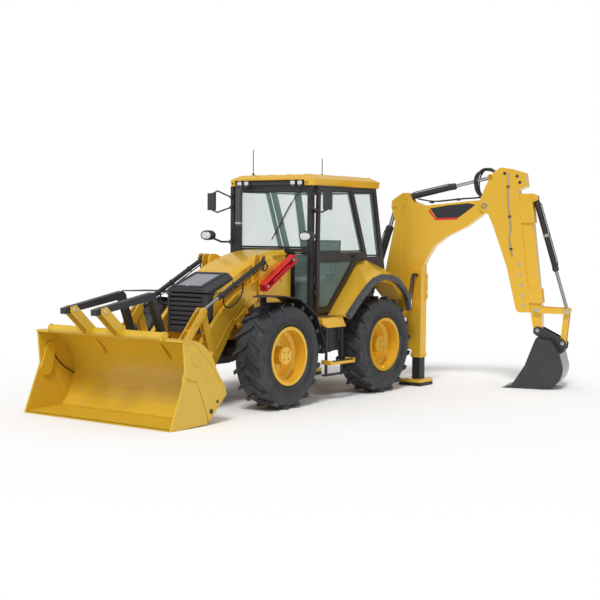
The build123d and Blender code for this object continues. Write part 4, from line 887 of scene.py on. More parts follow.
# ------------------------------------------------------------------ shared makers
ACROSS = Vector((0.0, 1.0, 0.0))
AHEAD = Vector((1.0, 0.0, 0.0))
UPWARD = Vector((0.0, 0.0, 1.0))
FASTENERS = FastenerTree()


def arc(centre: tuple[float, float], radius: float, start_deg: float, end_deg: float,
        count: int = 12) -> list[tuple[float, float]]:
    """Points on a circular arc in a plane.

    Args:
        centre: its centre.
        radius: its radius.
        start_deg: first angle.
        end_deg: last angle.
        count: how many points.

    Returns:
        The points in order.
    """
    angles = [math.radians(start_deg + (end_deg - start_deg) * i / (count - 1)) for i in range(count)]
    return [(centre[0] + radius * math.cos(t), centre[1] + radius * math.sin(t)) for t in angles]


def band(line: Sequence[tuple[float, float]], width: float) -> list[tuple[float, float]]:
    """Outline of a band of even width along a flat line of points."""
    left, right = [], []
    for i, (a, b) in enumerate(line):
        before = line[max(i - 1, 0)]
        after = line[min(i + 1, len(line) - 1)]
        heading = Vector((after[0] - before[0], after[1] - before[1])).normalized()
        left.append((a - heading.y * width / 2, b + heading.x * width / 2))
        right.append((a + heading.y * width / 2, b - heading.x * width / 2))
    return left + list(reversed(right))


def cap(centre: Vector, way: Vector, radius: float, height: float) -> Maker:
    """Maker of a pin's head: a shallow turned cap with a rounded rim and a centre dimple."""
    profile = [(radius, -0.002), (radius, height * 0.6), (radius * 0.88, height), (radius * 0.32, height),
               (radius * 0.26, height * 0.7), (0.0, height * 0.7)]
    return lathe(profile, centre, way, 28)


def frame_ring(outer: Sequence[tuple[float, float]], inner: Sequence[tuple[float, float]],
               place: Callable[..., Vector], first: float, second: float) -> Maker:
    """Maker of a flat ring between two outlines with the same count of points, from one offset to another."""
    low, high = sorted((first, second))

    def make(bm: bmesh.types.BMesh) -> None:
        """Adds the ring to the bmesh."""
        corners = []
        for (a, b), (c, d) in zip(outer, inner):
            corners.append([place(a, b, low), place(a, b, high), place(c, d, high), place(c, d, low)])
        loop_skin(corners, closed=True)(bm)

    return make


def shrunk(outline: Sequence[tuple[float, float]], amount: float) -> list[tuple[float, float]]:
    """Outline moved inwards by an even amount, for convex or nearly convex shapes."""
    count = len(outline)
    area = sum(outline[i][0] * outline[(i + 1) % count][1] - outline[(i + 1) % count][0] * outline[i][1]
               for i in range(count))
    sign = 1.0 if area > 0 else -1.0
    moved = []
    for i in range(count):
        here = Vector(outline[i])
        first = (here - Vector(outline[i - 1])).normalized()
        second = (Vector(outline[(i + 1) % count]) - here).normalized()
        inward_first = Vector((-first.y, first.x)) * sign
        inward_second = Vector((-second.y, second.x)) * sign
        middle = inward_first + inward_second
        reach = amount / max(0.35, middle.normalized().dot(inward_first)) if middle.length > 1e-6 else amount
        point = here + (middle.normalized() if middle.length > 1e-6 else inward_first) * reach
        moved.append((point.x, point.y))
    return moved


# ------------------------------------------------------------------ wheels
@dataclass
class WheelDetails:
    """Fittings on one wheel: rim bolts, hub rings, valve and the bead ring of the tyre."""

    side: Side
    end: str
    axle_x: float
    hub_out: float = 1067.0
    disc_face: float = 950.0
    stud_count: int = 10
    stud_ring: float = 165.0

    @property
    def body(self) -> str:
        """CAD body the wheel rides on."""
        return f"wheel_{self.end}_{self.side.label}"

    def build(self) -> Iterator[bpy.types.Object]:
        """Builds the wheel's pieces."""
        tag = f"{self.end}_{self.side.label}"
        way = ACROSS * self.side.value
        centre = PLACE.at(self.axle_x, 0.0, AXLE_HEIGHT)
        studs = []
        for i in range(self.stud_count):
            turn = 2 * math.pi * i / self.stud_count
            around = Vector((math.cos(turn), 0.0, math.sin(turn))) * self.stud_ring * MM
            studs.append((centre + way * (self.disc_face + 0.5) * MM + around, way))
        yield FASTENERS.make(f"wheel_nuts_{tag}", studs, YELLOW, self.body, 0.013)
        disc = [(0.0, 1.0665), (0.112, 1.0665), (0.112, 1.074), (0.107, 1.078), (0.0, 1.078)]
        yield shaped(f"hub_rings_{tag}", self.body, YELLOW, lathe(disc, centre, way, 48))
        # Black discs on the hub face are painted shade standing for its holes, which are not cut.
        dots = [centre + way * 1.0775 + Vector((math.cos(t), 0.0, math.sin(t))) * 0.064
                for t in (math.pi / 4 + math.pi / 2 * k for k in range(4))]
        yield shaped(
            f"hub_holes_{tag}", self.body, BLACK_PLASTIC, *(cap(dot, way, 0.011, 0.0015) for dot in dots))
        lock = [(0.352, 1.108), (0.369, 1.108), (0.373, 1.116), (0.369, 1.124), (0.356, 1.124),
                (0.349, 1.116)]
        yield shaped(f"rim_lock_ring_{tag}", self.body, YELLOW, lathe(lock + lock[:1], centre, way, 72))
        stem = centre + Vector((0.0, 0.0, 0.300))
        yield shaped(
            f"tyre_valve_{tag}", self.body, BLACK_PLASTIC,
            pipe([stem + way * 0.951, stem + way * 1.000, stem + way * 1.020 + Vector((0.0, 0.0, -0.02))],
                 0.006, 10), cap(stem + way * 1.018 + Vector((0.0, 0.0, -0.02)), way, 0.008, 0.012))
        wall = [(0.415, 1.1545), (0.423, 1.1595), (0.431, 1.1545)]
        outer = [(0.458, 1.1545), (0.464, 1.1585), (0.470, 1.1545)]
        yield shaped(
            f"sidewall_rings_{tag}", self.body, TYRE_TRIM,
            *(lathe(ring_line + ring_line[:1], centre, way, 80) for ring_line in (wall, outer)))


# ------------------------------------------------------------------ loader
@dataclass
class ArmDetails:
    """Weld seams, pin heads, retaining bolts and hoses of one loader arm."""

    side: Side
    outer: float = 475.0
    inner: float = 410.0
    seam: tuple[tuple[float, float], ...] = (
        (1520, 1590), (1640, 1588), (1800, 1540), (2060, 1430), (2360, 1270), (2600, 1060), (2760, 860),
        (2960, 640), (3160, 450), (3330, 330))
    pivot: tuple[float, float] = (1550, 1620)
    lever_pin: tuple[float, float] = (3020, 720)

    def build(self) -> Iterator[bpy.types.Object]:
        """Builds the arm's pieces."""
        s = self.side.value
        way = ACROSS * s
        tag = self.side.label
        face = s * self.outer
        seam = band(self.seam, 12)
        yield shaped(
            f"arm_weld_seam_{tag}", "loader_arms", YELLOW,
            plate(seam, side_place, face - s, face + s * 5, bevel=0.002),
            plate(seam, side_place, s * self.inner + s, s * self.inner - s * 5, bevel=0.002))
        bosses = [cap(side_place(*self.pivot, face), way, 0.062, 0.007),
                  cap(side_place(*self.lever_pin, s * 564.5), way, 0.036, 0.006)]
        yield shaped(f"arm_pin_bosses_{tag}", "loader_arms", YELLOW, *bosses)
        plate_line = [(1490, 1690), (1560, 1668), (1604, 1600), (1586, 1590), (1540, 1650), (1484, 1672)]
        yield shaped(
            f"arm_pivot_keeper_{tag}", "loader_arms", YELLOW,
            plate(plate_line, side_place, face + s * 0.5, face + s * 9, bevel=0.001))
        bolts = [(PLACE.at(1506, face + s * 9, 1681), way), (PLACE.at(1590, face + s * 9, 1612), way)]
        bolts += [(PLACE.at(x, face + s * 0.5, z), way)
                  for x, z in ((1640, 1680), (1700, 1660), (1760, 1634))]
        yield FASTENERS.make(f"arm_bolts_{tag}", bolts, STEEL, "loader_arms", 0.010)
        line = [(1700, 1500), (1900, 1420), (2150, 1310), (2330, 1205), (2480, 1070), (2660, 830),
                (2830, 605)]
        hoses = [pipe([PLACE.at(x, s * (self.inner - 14 - 20 * k), z + 40 - 6 * k) for x, z in line], 0.009,
                      10) for k in range(2)]
        clips = [plate(arc((x, z), 22, 0, 360, 13)[:-1], side_place,
                       s * (self.inner - 4), s * (self.inner - 52), bevel=0.001)
                 for x, z in ((1900, 1460), (2330, 1245), (2660, 870))]
        yield shaped(f"arm_hard_lines_{tag}", "loader_arms", HOSE, *hoses)
        yield shaped(f"arm_line_clips_{tag}", "loader_arms", CASTING, *clips)


@dataclass
class TiltDetails:
    """Pipes along the tilt cylinders, their collars, lever pins and hoses."""

    side: Side
    base: tuple[float, float] = (1934.0, 1865.0)
    top: tuple[float, float] = (3200.0, 1250.0)
    y: float = 533.0
    barrel_length: float = 1040.0

    def along(self, distance: float, lift: float = 0.0, aside: float = 0.0) -> Vector:
        """Place at a distance along the cylinder, lifted square to it and moved outwards."""
        heading = Vector((self.top[0] - self.base[0], self.top[1] - self.base[1])).normalized()
        x = self.base[0] + heading.x * distance - heading.y * lift
        z = self.base[1] + heading.y * distance + heading.x * lift
        return PLACE.at(x, self.side.value * (self.y + aside), z)

    def build(self) -> Iterator[bpy.types.Object]:
        """Builds the pieces."""
        s = self.side.value
        tag = self.side.label
        heading = (self.along(100) - self.along(0)).normalized()
        below = [self.along(60, -34), self.along(90, -52), self.along(140, -54), self.along(900, -54),
                 self.along(960, -50), self.along(985, -34)]
        bands = [lathe([(0.0315, -0.012), (0.0375, -0.010), (0.0375, 0.010), (0.0315, 0.012),
                        (0.0315, -0.012)], self.along(d), heading, 32) for d in (60, 320, 700, 985)]
        seal = [(0.0200, 0.0), (0.0300, 0.002), (0.0290, 0.010), (0.0215, 0.013), (0.0200, 0.0)]
        yield shaped(f"tilt_pipe_{tag}", "tilt_barrels", BLACK_PAINT, pipe(below, 0.008, 10))
        yield shaped(f"tilt_collars_{tag}", "tilt_barrels", CASTING, *bands)
        yield shaped(
            f"tilt_rod_seal_{tag}", "tilt_barrels", BLACK_PLASTIC,
            lathe(seal, self.along(self.barrel_length + 1), heading, 32))
        loop = [self.along(960, -50), self.along(1000, -95, -4), self.along(960, -200, -8),
                self.along(800, -235, -10), self.along(620, -190, -10), self.along(560, -110, -8),
                self.along(540, -54, -4)]
        second = [self.along(90, -50), self.along(120, -90, -2), self.along(70, -132, -4),
                  self.along(0, -112, -4), self.along(2, -62, -4), self.along(30, -34)]
        yield shaped(
            f"tilt_hoses_{tag}", "tilt_barrels", HOSE,
            pipe(loop, 0.010, 12), pipe(second, 0.009, 12))
        way = ACROSS * s
        pins = [cap(PLACE.at(3200, s * 564.5, 1250), way, 0.032, 0.010),
                cap(PLACE.at(3200, s * 499.5, 1250), -way, 0.030, 0.008)]
        yield shaped(f"lever_pin_heads_{tag}", "tilt_levers", STEEL, *pins)


@dataclass
class LoaderBucketDetails:
    """Edge bolts, boss plates, cheek webs, rims, floor bridge and clam hoses of the loader bucket."""

    half: float = 1210.0
    hexagon: tuple[float, float] = (4077.0, 780.0)
    back_arc: tuple[tuple[float, float], ...] = ((4200, 1000), (3697, 568), (3850, 66))

    def web_outline(self) -> list[tuple[float, float]]:
        """Outline of the web between a cheek's straight edge and the curved back plate."""
        (ax, ay), (bx, by), (cx, cy) = self.back_arc
        d = 2 * (ax * (by - cy) + bx * (cy - ay) + cx * (ay - by))
        a, b, c = ax * ax + ay * ay, bx * bx + by * by, cx * cx + cy * cy
        ux = (a * (by - cy) + b * (cy - ay) + c * (ay - by)) / d
        uy = (a * (cx - bx) + b * (ax - cx) + c * (bx - ax)) / d
        radius = math.hypot(ax - ux, ay - uy)
        start = math.degrees(math.atan2(ay - uy, ax - ux)) % 360
        end = math.degrees(math.atan2(720 - uy, 3742 - ux)) % 360
        return arc((ux, uy), radius, start, end, 14) + [(3775, 712), (4098, 978), (4196, 984)]

    def build(self) -> Iterator[bpy.types.Object]:
        """Builds the bucket's pieces."""
        bolts = [(PLACE.at(4455, -1080 + 240 * i, 22.3), UPWARD) for i in range(10)]
        yield FASTENERS.make("cutting_edge_bolts", bolts, BUCKET_YELLOW, "bucket_clam", 0.013)
        for side in Side:
            s = side.value
            way = ACROSS * s
            face = s * self.half
            hexagon = arc(self.hexagon, 78, 0, 300, 6)
            yield shaped(
                f"clam_boss_plate_{side.label}", "loader_bucket", BUCKET_YELLOW,
                plate(hexagon, side_place, face - s, face + s * 8, bevel=0.0015),
                cap(PLACE.at(4077, face + s * 7, 780), way, 0.034, 0.0045))
            dots = [(PLACE.at(a, face + s * 7, b), way) for a, b in arc(self.hexagon, 58, 30, 330, 6)]
            yield FASTENERS.make(f"clam_boss_bolts_{side.label}", dots, BUCKET_YELLOW, "loader_bucket", 0.006)
            rim = band([(4262, 976), (4100, 976), (3790, 704), (3590, 438), (3552, 340), (3700, 190),
                        (3835, 62)], 16)
            yield shaped(
                f"bucket_side_rim_{side.label}", "loader_bucket", BUCKET_YELLOW,
                plate(rim, side_place, face - s, face + s * 5, bevel=0.0015))
            # Black discs on the side plate are painted shade standing for its two holes, which are not cut.
            yield shaped(
                f"bucket_side_holes_{side.label}", "loader_bucket", BLACK_PLASTIC,
                cap(PLACE.at(3690, face + s * 0.5, 262), way, 0.020, 0.004),
                cap(PLACE.at(3800, face + s * 0.5, 160), way, 0.030, 0.003))
            yield shaped(
                f"bucket_cheek_web_{side.label}", "loader_bucket", BUCKET_YELLOW,
                plate(self.web_outline(), side_place, s * 1188, s * 1207, bevel=0.001))
            inside = s * (self.half - 26)
            arm = band([(4070, 760), (4020, 640), (3900, 520), (3760, 440), (3640, 410)], 60)
            yield shaped(
                f"clam_actuator_{side.label}", "loader_bucket", BUCKET_YELLOW,
                plate(arm, side_place, inside, inside - s * 14, bevel=0.003),
                cap(PLACE.at(4077, inside, 780), -way, 0.060, 0.020))
            hose = [PLACE.at(3655, inside - s * 20, 400), PLACE.at(3790, inside - s * 24, 470),
                    PLACE.at(3930, inside - s * 24, 560), PLACE.at(4040, inside - s * 22, 690),
                    PLACE.at(4066, inside - s * 16, 770)]
            yield shaped(f"clam_hose_{side.label}", "loader_bucket", HOSE, pipe(hose, 0.008, 10))
            ear = [(4290, 1000), (4250, 1004), (4240, 1050), (4262, 1090), (4308, 1090), (4330, 1050),
                   (4322, 1000)]
            yield shaped(
                f"rail_end_ear_{side.label}", "loader_bucket", BUCKET_YELLOW,
                plate(ear, side_place, s * 931, s * 947, bevel=0.002))
        bridge = [(3846, 84), (3852, 92), (3874, 62), (3898, 45), (3898, 41.5), (3868, 43), (3850, 66)]
        yield shaped(
            "bucket_floor_bridge", "loader_bucket", BUCKET_YELLOW, plate(bridge, side_place, -1180, 1180))
        lip = [(4150, 1003), (4290, 1003), (4290, 1012), (4150, 1010)]
        yield shaped(
            "bucket_top_strip", "loader_bucket", BUCKET_YELLOW,
            plate(lip, side_place, -1180, -300, bevel=0.001), plate(lip, side_place, -180, 180, bevel=0.001),
            plate(lip, side_place, 300, 1180, bevel=0.001))


@dataclass
class ForkDetails:
    """Pin heads and bolts where the forks hang on the bucket.

    Attributes:
        pivot: (x, z) of the forks' pin.
        walls: y of each bracket's inner and outer wall, and the way that it faces.
    """

    pivot: tuple[float, float] = (4610.0, 1310.0)
    walls: tuple[tuple[int, int], ...] = ((183, -1), (317, 1))

    def build(self) -> Iterator[bpy.types.Object]:
        """Builds the pieces."""
        for side in Side:
            s = side.value
            heads, bolts = [], []
            for wall, way in self.walls:
                outward = ACROSS * (s * way)
                face = s * wall + outward.y * 0.5
                heads.append(cap(side_place(*self.pivot, face), outward, 0.024, 0.010))
                bolts += [(PLACE.at(x, face, z), outward) for x, z in ((4330, 1052), (4470, 1175))]
            yield shaped(f"fork_pin_heads_{side.label}", "loader_bucket", STEEL, *heads)
            yield FASTENERS.make(
                f"fork_bracket_bolts_{side.label}", bolts, BUCKET_YELLOW, "loader_bucket", 0.011)


# ------------------------------------------------------------------ hood
@dataclass
class HoodDetails:
    """Bare nose panel in its frame, seams, side vents, latch and grille borders."""

    half: float = 345.0

    def nose(self, x: float, y: float, lift: float) -> Vector:
        """Place on the nose's sloping top, lifted square to it."""
        slope = (1514.0 - 1697.0) / (2890.0 - 2380.0)
        z = 1697.0 + (x - 2380.0) * slope
        return PLACE.at(x - slope * lift, y, z + lift)

    def build(self) -> Iterator[bpy.types.Object]:
        """Builds the hood's pieces."""
        outer = [(2400, -262), (2868, -262), (2868, 262), (2400, 262)]
        inner = [(2440, -205), (2835, -205), (2835, 205), (2440, 205)]

        yield shaped("nose_frame", "hood", BLACK_PLASTIC, frame_ring(outer, inner, self.nose, -2, 12))
        yield shaped(
            "nose_bare_panel", "hood", NOSE_GREY, plate(shrunk(inner, 4), self.nose, -1, 5, bevel=0.002))
        latch = [(2846, -26), (2866, -26), (2866, 26), (2846, 26)]
        yield shaped(
            "nose_latch", "hood", STEEL,
            plate(latch, self.nose, 12, 20, bevel=0.002),
            cap(self.nose(2856, 0, 20), (self.nose(2856, 0, 30) - self.nose(2856, 0, 20)).normalized(), 0.010,
                0.003))
        for side in Side:
            s = side.value
            face = s * self.half
            way = ACROSS * s
            seam = band([(2384, 1630), (2384, 1480), (2745, 1446)], 7)
            yield shaped(
                f"hood_seam_{side.label}", "hood", BLACK_PLASTIC,
                plate(seam, side_place, face - s, face + s * 2))
            louvres = []
            for k in range(6):
                x = 1900 + 62 * k
                louvre = [(x, 1270), (x + 40, 1262), (x + 40, 1420), (x, 1428)]
                louvres.append(plate(louvre, side_place, face - s, face + s * 5, bevel=0.002))
            yield shaped(f"hood_side_vents_{side.label}", "hood", BLACK_PLASTIC, *louvres)
            strip = band([(1235, 1150), (1700, 1146), (2300, 1142), (2730, 1140)], 26)
            yield shaped(
                f"hood_lower_strip_{side.label}", "hood", BLACK_PLASTIC,
                plate(strip, side_place, face - s, face + s * 4, bevel=0.001))
            bolts = [(PLACE.at(x, face + s * 4, 1146), way) for x in (1300, 1750, 2200, 2650)]
            yield FASTENERS.make(f"hood_strip_bolts_{side.label}", bolts, BLACK_PAINT, "hood", 0.009)
        mesh_bars = [plate([(-268 + 24 * k, 988), (-264 + 24 * k, 988), (-264 + 24 * k, 1409), (-268 + 24 * k,
                            1409)], front_place, 2846, 2850) for k in range(23)]
        yield shaped("grille_mesh", "hood", BLACK_PAINT, *mesh_bars)
        border = [(-283, 975), (283, 975), (283, 1424), (-283, 1424)]
        yield shaped(
            "grille_border", "hood", BLACK_PLASTIC,
            frame_ring(border, shrunk(border, 14), front_place, 2889, 2896))


# ------------------------------------------------------------------ cab
@dataclass
class CabDetails:
    """Gaskets, wiper, lamps, mirrors, roof ears and fascia of the cab."""

    def build(self) -> Iterator[bpy.types.Object]:
        """Builds the cab's pieces."""
        yield from self.build_glazing()
        yield from self.build_lamps()
        yield from self.build_mirrors()
        yield from self.build_roof()

    def build_glazing(self) -> Iterator[bpy.types.Object]:
        """Rubber gaskets round the fixed windows, and the wiper."""
        screen = [(-636, 2004), (636, 2004), (636, 2786), (-636, 2786)]
        rings = [frame_ring(screen, shrunk(screen, 26), front_place, 1126, 1142)]
        for s in (1, -1):
            low = [(s * 384, 1256), (s * 636, 1256), (s * 636, 1944), (s * 384, 1944)]
            rings.append(frame_ring(low, shrunk(low, 20), front_place, 1126, 1142))
            quarter = [(-172, 1886), (-512, 1886), (-318, 2794), (188, 2794)]
            rings.append(frame_ring(quarter, shrunk(quarter, 22), side_place, s * 676, s * 692))

        def rear_place(a: float, b: float, offset: float) -> Vector:
            """Place of (y, z) on the sloping rear window."""
            return PLACE.at(-583 + (b - 1800) * 0.225 - offset, a, b)

        rear = [(-636, 1806), (636, 1806), (636, 2794), (-636, 2794)]
        rings.append(frame_ring(rear, shrunk(rear, 26), rear_place, -12, 6))
        yield shaped("window_gaskets", "chassis", HOSE, *rings)
        pivot = PLACE.at(1146, 470, 2770)
        elbow = PLACE.at(1166, 330, 2560)
        arm = pipe([pivot, PLACE.at(1162, 440, 2720), elbow, PLACE.at(1160, 180, 2340)], 0.006, 8)
        blade = plate(band([(352, 2620), (20, 2120)], 14), front_place, 1148, 1158, bevel=0.002)
        yield shaped(
            "windscreen_wiper", "chassis", BLACK_PLASTIC,
            arm, blade, cap(PLACE.at(1138, 470, 2770), AHEAD, 0.024, 0.020))

    def build_lamps(self) -> Iterator[bpy.types.Object]:
        """Reflectors and lenses of the work lamps, headlamps and rear lamps."""
        shells, lenses, bezels = [], [], []
        for y in (-520, -400, 400, 520):
            bowl = [(0.0, -0.004), (0.022, -0.002), (0.038, 0.004), (0.041, 0.006), (0.041, 0.001),
                    (0.0, -0.012)]
            middle = PLACE.at(1190, y, 2887)
            shells.append(lathe(bowl, middle, AHEAD, 28))
            square = [(y - 44, 2858), (y + 44, 2858), (y + 44, 2916), (y - 44, 2916)]
            bezels.append(frame_ring(square, shrunk(square, 6), front_place, 1184, 1198))
            lenses.append(plate(shrunk(square, 5), front_place, 1193, 1197, bevel=0.001))
        for s in (1, -1):
            centre = PLACE.at(1512, s * 850, 2170)
            rim = [(math.cos(t) * 94 + s * 850, math.sin(t) * 58 + 2170) for t in
                   (2 * math.pi * i / 36 for i in range(36))]
            bezels.append(frame_ring(rim,
                                     [((a - s * 850) * 0.9 + s * 850, (b - 2170) * 0.88 + 2170) for a,
                                      b in rim], front_place, 1508, 1520))
            for offset, radius in ((-34, 44), (38, 40)):
                bowl = [(0.0, -0.002), (radius * 0.55 * MM, 0.002), (radius * MM, 0.005),
                        (radius * 1.04 * MM, 0.002), (0.0, -0.006)]
                shells.append(lathe(bowl, centre + ACROSS * (offset * MM), AHEAD, 32))
            lens = [((a - s * 850) * 0.9 + s * 850, (b - 2170) * 0.88 + 2170) for a, b in rim]
            lenses.append(plate(lens, front_place, 1515, 1519, bevel=0.001))
        yield shaped("lamp_reflectors", "chassis", REFLECTOR, *shells)
        yield shaped("lamp_bezels", "chassis", BLACK_PLASTIC, *bezels)
        yield shaped("lamp_lenses", "chassis", LENS, *lenses)
        rear_lenses = []
        for s in (1, -1):
            square = [(s * 484, 2796), (s * 576, 2796), (s * 576, 2846), (s * 484, 2846)]
            rear_lenses.append(plate(square, front_place, -544, -538, bevel=0.001))
        yield shaped("rear_lamp_lenses", "chassis", LENS, *rear_lenses)

    def build_mirrors(self) -> Iterator[bpy.types.Object]:
        """Mirror glass and its rim on the rear face of each mirror."""
        glass, rims = [], []
        for s in (1, -1):
            face = [(s * 943, 2530), (s * 1057, 2530), (s * 1057, 2750), (s * 943, 2750)]
            glass.append(plate(shrunk(face, 4), front_place, 1201.5, 1205.5, bevel=0.001))
            rims.append(frame_ring(face, shrunk(face, 7), front_place, 1200, 1206))
        yield shaped("mirror_glass", "chassis", MIRROR, *glass)
        yield shaped("mirror_rims", "chassis", BLACK_PLASTIC, *rims)

    def build_roof(self) -> Iterator[bpy.types.Object]:
        """Fascia between the lamps, brim ears, roof ribs and the brim's front edge."""
        fascia = [(-350, 2856), (350, 2856), (350, 2918), (-350, 2918)]
        yield shaped(
            "roof_fascia", "chassis", BLACK_PLASTIC, plate(fascia, front_place, 1151, 1176, bevel=0.006))
        ears = []
        for s in (1, -1):
            ear = [(s * 606, 2852), (s * 660, 2852), (s * 668, 2890), (s * 660, 2922), (s * 606, 2922)]
            ears.append(plate(ear, front_place, 1176, 1200, bevel=0.004))
        yield shaped("roof_ears", "chassis", YELLOW, *ears)
        # Black discs on the ears are painted shade standing for their holes, which are not cut.
        holes = [cap(PLACE.at(1200, s * 638, 2888), AHEAD, 0.013, 0.003) for s in (1, -1)]
        yield shaped("roof_ear_hole_shade", "chassis", BLACK_PLASTIC, *holes)

        ribs = [plate(band([(-300, y), (980, y)], 60), PLACE.at, 2999, 3012, bevel=0.006)
                for y in (-450, -150, 150, 450)]
        yield shaped("roof_ribs", "chassis", YELLOW, *ribs)
        brim = [(1195, -560), (1206, -560), (1206, 560), (1195, 560)]
        yield shaped("roof_brim_edge", "chassis", YELLOW, plate(brim, PLACE.at, 2926, 2946, bevel=0.004))


@dataclass
class DoorDetails:
    """Gaskets, lock, inner grab bar and hinge bolts of one door."""

    side: Side

    def build(self) -> Iterator[bpy.types.Object]:
        """Builds the door's pieces."""
        s = self.side.value
        body = f"door_{self.side.label}"
        top = [(1036, 1954), (-12, 1954), (322, 2791), (1020, 2791), (1036, 2000)]
        low = [(1036, 1204), (822, 1204), (214, 1836), (1036, 1836)]
        rings = [frame_ring(line, shrunk(line, 20), side_place, s * 714, s * 732) for line in (top, low)]
        yield shaped(f"{body}_gaskets", body, HOSE, *rings)
        face = s * 740
        lock = [(70, 1848), (250, 1848), (262, 1870), (262, 1918), (250, 1930), (56, 1930), (50, 1900)]
        yield shaped(
            f"{body}_lock_plate", body, BLACK_PLASTIC,
            plate(lock, side_place, face - s, face + s * 7, bevel=0.002),
            cap(PLACE.at(160, face + s * 7, 1892), ACROSS * s, 0.016, 0.014))
        grab = [PLACE.at(1010, s * 700, 1300), PLACE.at(985, s * 655, 1310), PLACE.at(900, s * 640, 1500),
                PLACE.at(820, s * 640, 1700), PLACE.at(800, s * 655, 1790), PLACE.at(800, s * 703, 1845)]
        yield shaped(f"{body}_inner_rail", body, BLACK_PAINT, pipe(grab, 0.012, 12))
        bolts = [(PLACE.at(x, face + s * 0.5, z), ACROSS * s) for x, z in
                 ((1070, 1380), (1070, 1460), (1070, 2480), (1070, 2560))]
        yield FASTENERS.make(f"{body}_hinge_bolts", bolts, BLACK_PAINT, body, 0.009)


@dataclass
class InteriorDetails:
    """Steering wheel rim, dash display, levers with knobs, pedals and floor mat."""

    def build(self) -> Iterator[bpy.types.Object]:
        """Builds the interior's pieces."""
        hub = PLACE.at(920, 0, 1680)
        towards = (PLACE.at(800, 0, 1880) - hub).normalized()
        rim_middle = hub + towards * 0.119
        first = ACROSS
        second = towards.cross(first).normalized()
        rings = []
        for i in range(48):
            t = 2 * math.pi * i / 48
            out = first * math.cos(t) + second * math.sin(t)
            rings.append([rim_middle + out * (0.181 + 0.014 * math.cos(p)) + towards * 0.014 * math.sin(p)
                          for p in (2 * math.pi * k / 10 for k in range(10))])
        yield shaped(
            "steering_wheel_grip", "chassis", BLACK_PLASTIC,
            loop_skin(rings, closed=True), cap(rim_middle, towards, 0.045, 0.018))
        screen = [(-120, 1740), (120, 1740), (132, 1860), (-132, 1860)]
        yield shaped(
            "dash_display", "chassis", LINING,
            plate([(-190, 1719), (190, 1719), (165, 1790), (-165, 1790)], front_place, 990, 1090,
                  bevel=0.015), plate(screen, front_place, 1030, 1052, bevel=0.006))
        levers = []
        for s in (1, -1):
            for x, z in ((330, 1800), (-250, 1850)):
                knob = [(0.0, 0.0), (0.018, 0.004), (0.024, 0.022), (0.020, 0.045), (0.0, 0.055)]
                levers.append(lathe(knob, PLACE.at(x, s * 435, z - 2), UPWARD, 20))
                boot = [(0.0, 0.0), (0.034, 0.0), (0.030, 0.010), (0.026, 0.018), (0.030, 0.026),
                        (0.018, 0.044), (0.013, 0.046)]
                levers.append(lathe(boot + [(0.0, 0.046)], PLACE.at(x, s * 435, 1650), UPWARD, 20))
        yield shaped("lever_knobs", "chassis", BLACK_PLASTIC, *levers)
        consoles = [plate([(-320, s * 405), (410, s * 405), (410, s * 464), (-320, s * 464)],
                          PLACE.at, 1649, 1662, bevel=0.005) for s in (1, -1)]
        yield shaped("console_tops", "chassis", LINING, *consoles)
        pedals = [plate([(y - 40, 1190), (y + 40, 1190), (y + 36, 1300), (y - 36, 1300)], front_place, 930,
                        944, bevel=0.004) for y in (-200, -90, 150)]
        stems = [pipe([PLACE.at(944, y, 1250), PLACE.at(985, y, 1290)], 0.008, 8) for y in (-200, -90, 150)]
        yield shaped("pedals", "chassis", BLACK_PLASTIC, *(pedals + stems))
        mat = plate([(100, -380), (940, -380), (940, 380), (100, 380)], PLACE.at, 1130, 1138,
                    bevel=0.003)
        yield shaped("floor_mat", "chassis", HOSE, mat)


